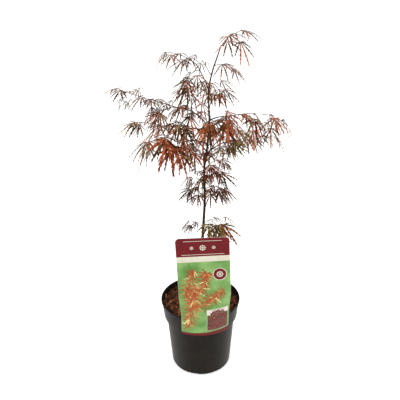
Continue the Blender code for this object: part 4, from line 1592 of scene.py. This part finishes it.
class PlainLeaf:
    """The solids' leaf, with few faces, by which clearances are tested.

    Its points are size * shape + margin * growth, in (ahead, aside, proud, fall) from the hub.
    """

    NOTCHES = np.array((0.03, *(0.10,) * 6, 0.03))
    HALF_WIDTH, HALF_THICKNESS = 0.053, 0.011
    WIDEST, TIP = (0.46, 0.07), (0.93, 0.32)  # share of the lobe's length, and its fall there
    HIND_FALL = 0.2
    STALK_RADIUS = 0.36

    def __init__(self) -> None:
        """Work out the shape's points, their growth, and the faces."""
        self.shape, self.growth = self._points(1.0, 0.0), self._points(0.0, 1.0)
        self.faces = self._faces()

    def _points(self, size: float, margin: float) -> Array:
        """Lay out the hub's two sides, the clefts, and each lobe's points, from the left.

        Args:
            size: The middle lobe's length.
            margin: How far every point lies outside the leaf.

        Returns:
            The points, one row each.
        """
        clefts = (np.arange(LOBES + 1) - LOBES / 2) * FAN_STEP
        reach = self.NOTCHES * size + margin
        half = self.HALF_THICKNESS * size + margin
        rows = [(0, 0, half, 0), (0, 0, -half, 0)]
        rows += list(np.stack((reach * np.cos(clefts), reach * np.sin(clefts), 0 * clefts, 0 * clefts), -1))
        for lobe, length in enumerate(LOBE_LENGTHS * size):
            angle = (lobe - LOBES // 2) * FAN_STEP
            ahead, aside = math.cos(angle), math.sin(angle)
            if lobe in (0, LOBES - 1):
                reach_out = length + margin
                rows.append((reach_out * ahead, reach_out * aside, 0, self.HIND_FALL * length))
                continue
            width, middle = self.HALF_WIDTH * size + margin, self.WIDEST[0] * length
            fall = self.WIDEST[1] * length
            for across, proud in ((-width, 0), (0, half), (width, 0)):
                rows.append((middle * ahead - across * aside, middle * aside + across * ahead, proud, fall))
            end = self.TIP[0] * length + margin
            rows.append((end * ahead, end * aside, 0, self.TIP[1] * length))
        return np.array(rows, float)

    def _faces(self) -> list[tuple[int, ...]]:
        """List the faces, with the stalk's three root points numbered last.

        Returns:
            Each face's point numbers.
        """
        top, back, first, start = 0, 1, 2, LOBES + 3
        faces = [(top, first + LOBES, first)]
        for lobe in range(LOBES):
            low, high = first + lobe, first + lobe + 1
            if lobe in (0, LOBES - 1):
                faces += [(top, low, start), (top, start, high), (back, start, low), (back, high, start)]
                start += 1
                continue
            less, ridge, more, tip = range(start, start + 4)
            faces += [(top, low, less), (top, less, ridge), (less, tip, ridge), (ridge, tip, more),
                      (top, ridge, more), (top, more, high)]
            faces += [(back, less, low), (back, more, less), (less, more, tip), (back, high, more)]
            start += 4
        ring = (back, first, first + LOBES)
        faces += [(ring[i], ring[(i + 1) % 3], start + (i + 1) % 3, start + i) for i in range(3)]
        return faces + [(start, start + 1, start + 2)]

    def tree(self, seat: Seat, margin: float = 0.0) -> BVHTree:
        """Make a search tree of the leaf in a seat.

        Args:
            seat: The leaf's place.
            margin: How far the leaf is widened, mm.

        Returns:
            The tree.
        """
        blade = seat.hub + (seat.size * self.shape + margin * self.growth) @ seat.axes()
        along = unit(seat.hub - seat.root)
        flat = unit(np.cross(along, seat.normal))
        over = np.cross(flat, along)
        angles = np.radians((-90, 150, 30))[:, None]
        spread = np.sin(angles) * over - np.cos(angles) * flat
        stalk = seat.root + (self.STALK_RADIUS + margin) * spread
        return search_tree(np.concatenate((blade, stalk)), self.faces)


class CutLeaf:
    """The leaf as it is seen: seven slender lobes, each cut into forward-pointing teeth.

    A lobe runs from the hub and falls by 0.37 of its length times the square of the share gone.
    Its strip is a chain of quads; a tooth is a triangle that springs from the strip's edge between
    two stations, points forward and bows down at its end. Teeth alternate from side to side.
    """

    STATIONS = np.array((0.08, 0.25, 0.41, 0.56, 0.7, 0.84))
    HALF_WIDTHS = np.array((0.014, 0.027, 0.033, 0.03, 0.022, 0.012))
    TEETH = np.array((0.034, 0.042, 0.042, 0.036, 0.026))
    ROOTS = {-1: 0.1, 1: 0.4}  # how far past a station each side's teeth spring
    BREADTHS = (0.72, 0.8, 0.86, 0.92, 0.98, 1.05, 1.12, 1.2, 1.32, 1.45)
    FALL = 0.37
    PLAY = (0.045, 0.09)  # of a lobe's turn, and of its bend to one side

    def __init__(self, variant: int) -> None:
        """Work out one variant's points in (ahead, aside, proud, fall), and its triangles.

        Args:
            variant: Its number, which seeds it and picks its breadth.
        """
        luck = np.random.default_rng(1000 + variant)
        breadth = self.BREADTHS[variant % len(self.BREADTHS)]
        turns = (np.arange(LOBES) - LOBES // 2) * FAN_STEP + luck.normal(0, self.PLAY[0], LOBES)
        lengths = LOBE_LENGTHS * luck.uniform(0.86, 1.0, LOBES)
        stations = len(self.STATIONS)
        teeth = stations - 1
        size = 1 + 2 * stations + 4 * teeth
        points, faces = [np.zeros((1, 4))], []
        sweeps = luck.normal(0, self.PLAY[1], LOBES)
        for lobe, (turn, length, sweep) in enumerate(zip(turns, lengths, sweeps)):
            scale = (0.55 + 0.45 * length) * breadth
            share = self.STATIONS + luck.uniform(-0.015, 0.015, stations) * (self.STATIONS > 0.1)
            parts = [(1.0, 0.0, 0.0)]
            for side in (-1, 1):
                half = self.HALF_WIDTHS * scale
                parts += list(np.stack((share, side * half, 0 * share), -1))
                gap = np.diff(share)
                root = share[:-1] + gap * self.ROOTS[side]
                base = np.interp(root, share, half)
                end = root + gap * luck.uniform(0.9, 1.2, teeth)
                out = self.TEETH * scale * luck.uniform(0.75, 1.15, teeth)
                parts += list(np.stack((root, side * base, 0 * root), -1))
                parts += list(np.stack((end, side * (base + out), -0.3 * out), -1))
            reach, aside, proud = np.array(parts).T
            aside = aside + sweep * reach**2 * length
            ahead = length * reach * math.cos(turn) - aside * math.sin(turn)
            across = length * reach * math.sin(turn) + aside * math.cos(turn)
            points.append(np.stack((ahead, across, proud, self.FALL * reach**2 * length), -1))
            tip = 1 + lobe * size
            left, right = (tip + 1 + i * (stations + 2 * teeth) + np.arange(stations) for i in (0, 1))
            roots, ends = (np.arange(teeth) + stations + i * teeth for i in (0, 1))
            step = np.arange(teeth)
            rows = [
                np.stack((left[:-1], left[1:], right[1:]), -1),
                np.stack((left[:-1], right[1:], right[:-1]), -1),
                np.stack((left[0] + roots, left[0] + ends, left[0] + step + 1), -1),
                np.stack((right[0] + roots, right[0] + step + 1, right[0] + ends), -1),
                np.array([(left[-1], tip, right[-1]), (0, left[0], right[0])]),
            ]
            if lobe:
                rows.append(np.array([(0, right[0] - size, left[0])]))
            rows = np.concatenate(rows)
            faces.append(np.concatenate((rows, np.full((len(rows), 1), lobe)), 1))
        self.points = np.concatenate(points)
        table = np.concatenate(faces)
        self.faces, self.lobe = table[:, :3], table[:, 3]


class Tone(Enum):
    """The blades' tints, in the order of each foliage piece's materials: colour and darker mottling, partly
    painted sheen and shade.
    """

    # The brightest orange: partly the leaves' own colour and partly a painted highlight.
    FLAME = ("#ba633e", "#864020")
    RUST = ("#9c4c2d", "#612b16")
    RUSSET = ("#7c4420", "#48240d")
    CHESTNUT = ("#633d1e", "#361f0c")
    UMBER = ("#4b2c13", "#221407")
    GARNET = ("#67291e", "#38150e")
    OLIVE = ("#6f5b24", "#3e3310")
    KHAKI = ("#887339", "#53431a")
    # Painted highlight: a pale tan that a few lobes are dealt in place of highlights.
    TAN = ("#a67549", "#6f4522")


# The shares in which each tint of foliage deals out the tones above.
TINTS = {
    "rust": (0.2, 0.27, 0.19, 0.11, 0.1, 0.03, 0.05, 0.02, 0.03),
    "burgundy": (0.03, 0.1, 0.2, 0.22, 0.17, 0.11, 0.11, 0.03, 0.03),
    "bronze": (0.07, 0.16, 0.17, 0.21, 0.16, 0.03, 0.12, 0.05, 0.03),
    "olive": (0.07, 0.1, 0.12, 0.17, 0.15, 0.02, 0.2, 0.13, 0.04),
    "moss": (0.0, 0.04, 0.12, 0.16, 0.1, 0.0, 0.37, 0.16, 0.05),
    "amber": (0.13, 0.2, 0.2, 0.16, 0.12, 0.02, 0.1, 0.04, 0.03),
    "ember": (0.1, 0.32, 0.22, 0.08, 0.07, 0.17, 0.01, 0.01, 0.02),
    # dusk deals darker tones to the lowest leaves, under the crown: painted shade.
    "dusk": (0.01, 0.06, 0.15, 0.17, 0.3, 0.2, 0.08, 0.01, 0.02),
    "shade": (0.04, 0.1, 0.13, 0.22, 0.31, 0.04, 0.12, 0.03, 0.01),
    "honey": (0.13, 0.16, 0.16, 0.13, 0.08, 0.02, 0.13, 0.11, 0.08),
    "blaze": (0.18, 0.37, 0.2, 0.07, 0.03, 0.05, 0.06, 0.02, 0.02),
}


@dataclass
class Spray:
    """One stem with its leaves: its line and radii, their seats and usual tone, and its mass."""

    line: Array
    radii: Array
    seats: list[Seat]
    tone: int
    mass: Mass


@dataclass
class Crown:
    """All foliage: each mass's stem and leaves by the solids' rule, then side shoots that fill it."""

    limbs: Limbs
    habit: Habit = Habit()
    variants: int = 10
    shoot_size: float = 0.74
    shoot_length: Pair = (0.45, 0.85)
    shoot_hang: float = 0.45  # a shoot's leaves hang this much as far as the mass's own
    shoot_room: float = 9.0  # how far a shoot's leaf may leave its mass's box, mm
    shoot_reach: float = 15.0  # and its mean distance from the mass's own leaves
    shoot_places: Pair = (0.12, 0.84)  # where along the stem they start, and over how much
    shoot_size_play: Pair = (0.8, 1.15)
    shoot_turn_play: float = 40.0
    shoot_tries: int = 3
    shoot_radii: Pair = (0.5, 0.34)
    stem_radii: Pair = (0.95, 0.5)
    stem_rows: int = 14
    seeds: tuple[int, int, int] = (3000, 7000, 400)  # of the tones, the shoots and the blades
    odd_leaves: float = 0.5  # the share of leaves, and of lobes, that leave their spray's tone
    odd_lobes: float = 0.55
    stalk_radius: float = 0.34
    plain: PlainLeaf = field(default_factory=PlainLeaf)
    sprays: dict[str, list[Spray]] = field(
        default_factory=lambda: {mass.tint: [] for mass in MASSES.values()}
    )

    def __post_init__(self) -> None:
        """Keep the solids' search trees, which leaves stay clear of."""
        hard = ["pot", "soil", "plant_label", "trunk", *BOUGHS]
        self.hard = {name: self.solid(name) for name in hard}

    def solid(self, name: str) -> BVHTree:
        """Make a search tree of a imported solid.

        Args:
            name: The solid's node.

        Returns:
            The tree, in millimetres.
        """
        mesh = frame["nodes"][name].data
        points = np.empty(3 * len(mesh.vertices), np.float32)
        mesh.vertices.foreach_get("co", points)
        return search_tree(points.reshape(-1, 3) / MM, [tuple(face.vertices) for face in mesh.polygons])

    def stem_tree(self, route: Route) -> BVHTree:
        """Return a search tree of a stem as a three-sided tube."""
        shape = tube(route.points, route.radii, 3)
        return search_tree(shape.points, shape.faces.tolist())

    def main_leaves(
        self, mass: Mass, route: Route, taken: list[BVHTree], luck: random.Random
    ) -> list[Seat]:
        """Seat a mass's leaves as the solids' are: clear of each other too, where that can be.

        Args:
            mass: The mass.
            route: Its stem.
            taken: The search trees that its leaves keep clear of.
            luck: Its own source of chance.

        Returns:
            The leaves' seats.
        """
        seats, trees = [], []
        for share, turn, last in self.habit.places(mass):
            best = None
            for attempt in range(self.habit.tries):
                aside = self.habit.retry_turn * attempt * (-1) ** attempt
                seat = self.habit.seat(mass, route, share, turn + aside, last, luck)
                wide = self.plain.tree(seat, self.habit.clearance)
                if any(wide.overlap(other) for other in taken):
                    continue
                crossings = sum(len(wide.overlap(other)) for other in trees)
                if best is None or crossings < best[0]:
                    best = (crossings, seat)
                if crossings == 0:
                    break
            if best:
                seats.append(best[1])
                trees.append(self.plain.tree(best[1]))
        return seats

    def tone(self, mass: Mass, luck: random.Random) -> int:
        """Deal out a tone's number by a mass's shares."""
        return luck.choices(range(len(Tone)), mass.shares())[0]

    def shoots(self, name: str, mass: Mass, route: Route) -> Iterator[Spray]:
        """Grow side shoots between a mass's pairs, with one pair and a last leaf each.

        A leaf is kept where its plain shape clears the limbs and its lobes end within reach of the
        mass's solid. A shoot with no leaf left is dropped.

        Args:
            name: The mass's name.
            mass: The mass.
            route: Its stem.

        Yields:
            The shoots.
        """
        luck = random.Random(self.seeds[1] + mass.seed)
        near = self.solid(name)
        low, high = (np.array(corner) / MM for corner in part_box(name))
        lowest, highest = low - self.shoot_room, high + self.shoot_room
        start, span = self.shoot_places
        for index in range(mass.shoots):
            share = start + span * (index + luck.uniform(0.2, 0.8)) / mass.shoots
            size = mass.size * self.shoot_size * luck.uniform(*self.shoot_size_play)
            turn = luck.uniform(0, 360)
            small = replace(mass, pairs=1, size=size, turn=turn, hang=self.shoot_hang * mass.hang)
            root, along, _ = route.at(share)
            length = mass.size * luck.uniform(*self.shoot_length)
            tip = root + length * unit(0.5 * along + outward(along, turn))
            shoot = Route(arched(root, tip, 0.5 * length, 5), np.linspace(*self.shoot_radii, 5))
            seats, end = [], 0.0
            for place, turn, last in self.habit.places(small):
                for _ in range(self.shoot_tries):
                    play = luck.uniform(-self.shoot_turn_play, self.shoot_turn_play)
                    seat = self.habit.seat(small, shoot, place, turn + play, last, luck)
                    tips = seat.tips()
                    if ((tips < lowest) | (tips > highest)).any():
                        continue
                    away = float(np.mean([near.find_nearest(tip)[3] for tip in tips]))
                    leaf = self.plain.tree(seat)
                    if away < self.shoot_reach and not any(leaf.overlap(tree) for tree in self.hard.values()):
                        seats.append(seat)
                        end = place
                        break
            if seats:
                line = np.stack([shoot.point(share) for share in np.linspace(0, end, 5)])
                yield Spray(line, shoot.radii, seats, self.tone(mass, luck), mass)

    def grow(self) -> None:
        """Grow every mass by the rule of the solids, and fill it with shoots."""
        stems = {}
        for name, mass in MASSES.items():
            samples = 2 + 2 * max(1, mass.pairs)
            stems[name] = self.limbs.routes[mass.parent].branch(mass, *STEM_RADII, samples)
        stem_trees = {name: self.stem_tree(route) for name, route in stems.items()}
        grown = []
        for name, mass in MASSES.items():
            route = stems[name]
            others = (tree for other, tree in stem_trees.items() if other != name)
            taken = [*self.hard.values(), *others, *grown]
            seats = self.main_leaves(mass, route, taken, random.Random(mass.seed))
            grown += [self.plain.tree(seat) for seat in seats]
            line = route.rooted(self.limbs.root(mass, 0.004), self.stem_rows)
            tone = self.tone(mass, random.Random(self.seeds[0] + mass.seed))
            radii = np.linspace(*self.stem_radii, self.stem_rows)
            self.sprays[mass.tint].append(Spray(line, radii, seats, tone, mass))
            self.sprays[mass.tint] += list(self.shoots(name, mass, route))

    def blades(self, tint: str, leaves: list[CutLeaf]) -> Surface:
        """Put together a tint's blades: each is its variant's points, scaled and turned into its seat.

        Args:
            tint: The tint.
            leaves: The variants, from the most slender.

        Returns:
            The blades, with each lobe's tone as its finish number.
        """
        luck = np.random.default_rng(self.seeds[2] + len(tint))
        seats = [seat for spray in self.sprays[tint] for seat in spray.seats]
        owners = [spray for spray in self.sprays[tint] for _ in spray.seats]
        usual = np.array([spray.tone for spray in owners])
        shares = np.cumsum([spray.mass.shares() for spray in owners], axis=1)
        draws = luck.random((len(seats), LOBES + 1))
        dealt = np.minimum((draws[..., None] > shares[:, None, :]).sum(-1), len(Tone) - 1)
        leaf = np.where(luck.random(len(seats)) < self.odd_leaves, dealt[:, LOBES], usual)[:, None]
        tones = np.where(luck.random((len(seats), LOBES)) < self.odd_lobes, dealt[:, :LOBES], leaf)
        low, high = np.array([spray.mass.build for spray in owners]).T
        chosen = luck.integers(low, high)
        hubs = np.stack([seat.hub for seat in seats])
        axes = np.stack([seat.axes() * seat.size for seat in seats])
        parts = []
        for variant, blade in enumerate(leaves):
            picked = np.flatnonzero(chosen == variant)
            if not len(picked):
                continue
            points = hubs[picked, None] + blade.points @ axes[picked]
            parts.append(copied(points, blade.faces, tones[picked][:, blade.lobe]))
        return joined(parts)

    def stalk(self, seat: Seat) -> Surface:
        """Draw a leaf's stalk, a thin tube from the stem to the hub that rises a little on its way.

        Args:
            seat: The leaf's place.

        Returns:
            The stalk.
        """
        away = seat.hub - seat.root
        line = arched(seat.root, seat.hub, 0.18 * float(np.linalg.norm(away)), 5)
        over = UP if abs(unit(away)[2]) < 0.97 else ACROSS
        return tube(line, np.linspace(self.stalk_radius * 1.2, self.stalk_radius * 0.85, 5), 4, over)

    def twig(self, spray: Spray) -> Surface:
        """Return a spray's stem as a six-sided tube."""
        along = unit(spray.line[-1] - spray.line[0])
        return tube(spray.line, spray.radii, 6, UP if abs(along[2]) < 0.94 else ACROSS)

    def build(self) -> None:
        """Grow the crown and make its pieces: twigs, leaf stalks, and the blades of each tint."""
        self.grow()
        leaves = [CutLeaf(variant) for variant in range(self.variants)]
        sprays = [spray for group in self.sprays.values() for spray in group]
        twigs = joined([self.twig(spray) for spray in sprays])
        twigs.shown("twigs", [self.limbs.shoots.material()], "bark", sharp=70)
        stalk_skin = LeafBlade("leaf_stalk_skin", "#6a2a20", "#52211a", 0.45)
        stalks = joined([self.stalk(seat) for spray in sprays for seat in spray.seats])
        stalks.shown("leaf_stalks", [stalk_skin.material()], "foliage_bronze", sharp=70)
        finishes = [LeafBlade(f"maple_blade_{tone.name.lower()}", *tone.value).material() for tone in Tone]
        for tint in self.sprays:
            masses = tuple(name for name, mass in MASSES.items() if mass.tint == tint)
            self.blades(tint, leaves).shown(f"leaves_{tint}", finishes, f"foliage_{tint}", masses, sharp=180)
            LOG.info("%s: %d leaves", tint, sum(len(spray.seats) for spray in self.sprays[tint]))


# ---------------------------------------------------------------- studio


def facing(aim: Array) -> Matrix:
    """Return the rotation that turns the -Z axis to a direction."""
    side = unit(np.cross(UP, -aim))
    return Matrix(np.stack((side, unit(np.cross(-aim, side)), -unit(aim)), -1).tolist()).to_4x4()


@dataclass
class Studio:
    """A pale floor, soft lamps and the camera."""

    floor_half: float = 30.0
    camera_place: Triple = (0.0, -1.12, 0.9438)
    pitch: float = 24.31
    roll: float = -0.70
    lens: float = 49.43
    shift: float = 0.001875
    sky: float = 1.0

    def floor(self) -> None:
        """Lay the pale floor."""
        half = self.floor_half
        corners = [(-half, -half, 0), (half, -half, 0), (half, half, 0), (-half, half, 0)]
        mesh = bpy.data.meshes.new("studio_floor")
        mesh.from_pydata(corners, [], [(0, 1, 2, 3)])
        fleck = Layer(60.0, 2.0, "#f3f3f2", relief=0.01)
        material = finished("matt_white_paper", "#f6f6f5", (fleck,), 0.9, glow=0.4)
        mesh.materials.append(material)
        floor = bpy.data.objects.new("studio_floor", mesh)
        bpy.context.scene.collection.objects.link(floor)

    def lamp(self, name: str, place: Triple, size: Pair, watts: float) -> None:
        """Hang a rectangular soft lamp that faces the middle of the plant.

        Args:
            name: Its name.
            place: Where it hangs, m.
            size: Its width and height, m.
            watts: Its power.
        """
        light = bpy.data.lights.new(name, "AREA")
        light.shape = "RECTANGLE"
        light.size, light.size_y = size
        light.energy = watts
        lamp = bpy.data.objects.new(name, light)
        aim = np.array((0.0, 0.0, 0.4)) - place
        lamp.matrix_world = Matrix.Translation(place) @ facing(aim)
        bpy.context.scene.collection.objects.link(lamp)

    def build(self) -> None:
        """Light the plant and set the camera."""
        self.floor()
        world = bpy.data.worlds.new("studio_sky")
        world.use_nodes = True
        background = world.node_tree.nodes["Background"]
        background.inputs["Color"].default_value = (1, 1, 1, 1)
        background.inputs["Strength"].default_value = self.sky
        scene = bpy.context.scene
        scene.world = world
        scene.view_settings.view_transform = "Standard"
        self.lamp("key", (-1.6, -2.0, 2.6), (1.6, 1.6), 30)
        self.lamp("fill", (2.2, -1.6, 1.4), (1.4, 1.8), 8)
        self.lamp("back", (0.6, 2.2, 2.2), (2.0, 1.2), 12)
        camera = bpy.data.cameras.new("camera")
        camera.sensor_width = 36.0
        camera.lens = self.lens
        camera.shift_x = self.shift
        camera.clip_end = 100.0
        viewer = bpy.data.objects.new("camera", camera)
        tilt = Matrix.Rotation(math.radians(90 - self.pitch), 4, "X")
        roll = Matrix.Rotation(math.radians(self.roll), 4, "Z")
        viewer.matrix_world = Matrix.Translation(self.camera_place) @ tilt @ roll
        scene.collection.objects.link(viewer)
        scene.camera = viewer


def main() -> None:
    """Build every sub-assembly in order, from the pot up."""
    logging.basicConfig(level=logging.INFO, format="%(name)s: %(message)s")
    pot = NurseryPot()
    pot.build()
    PottingMix(pot).build()
    PlantLabel().build()
    limbs = Limbs()
    limbs.build()
    Crown(limbs).build()
    Studio().build()


if __name__ == "__main__":
    main()
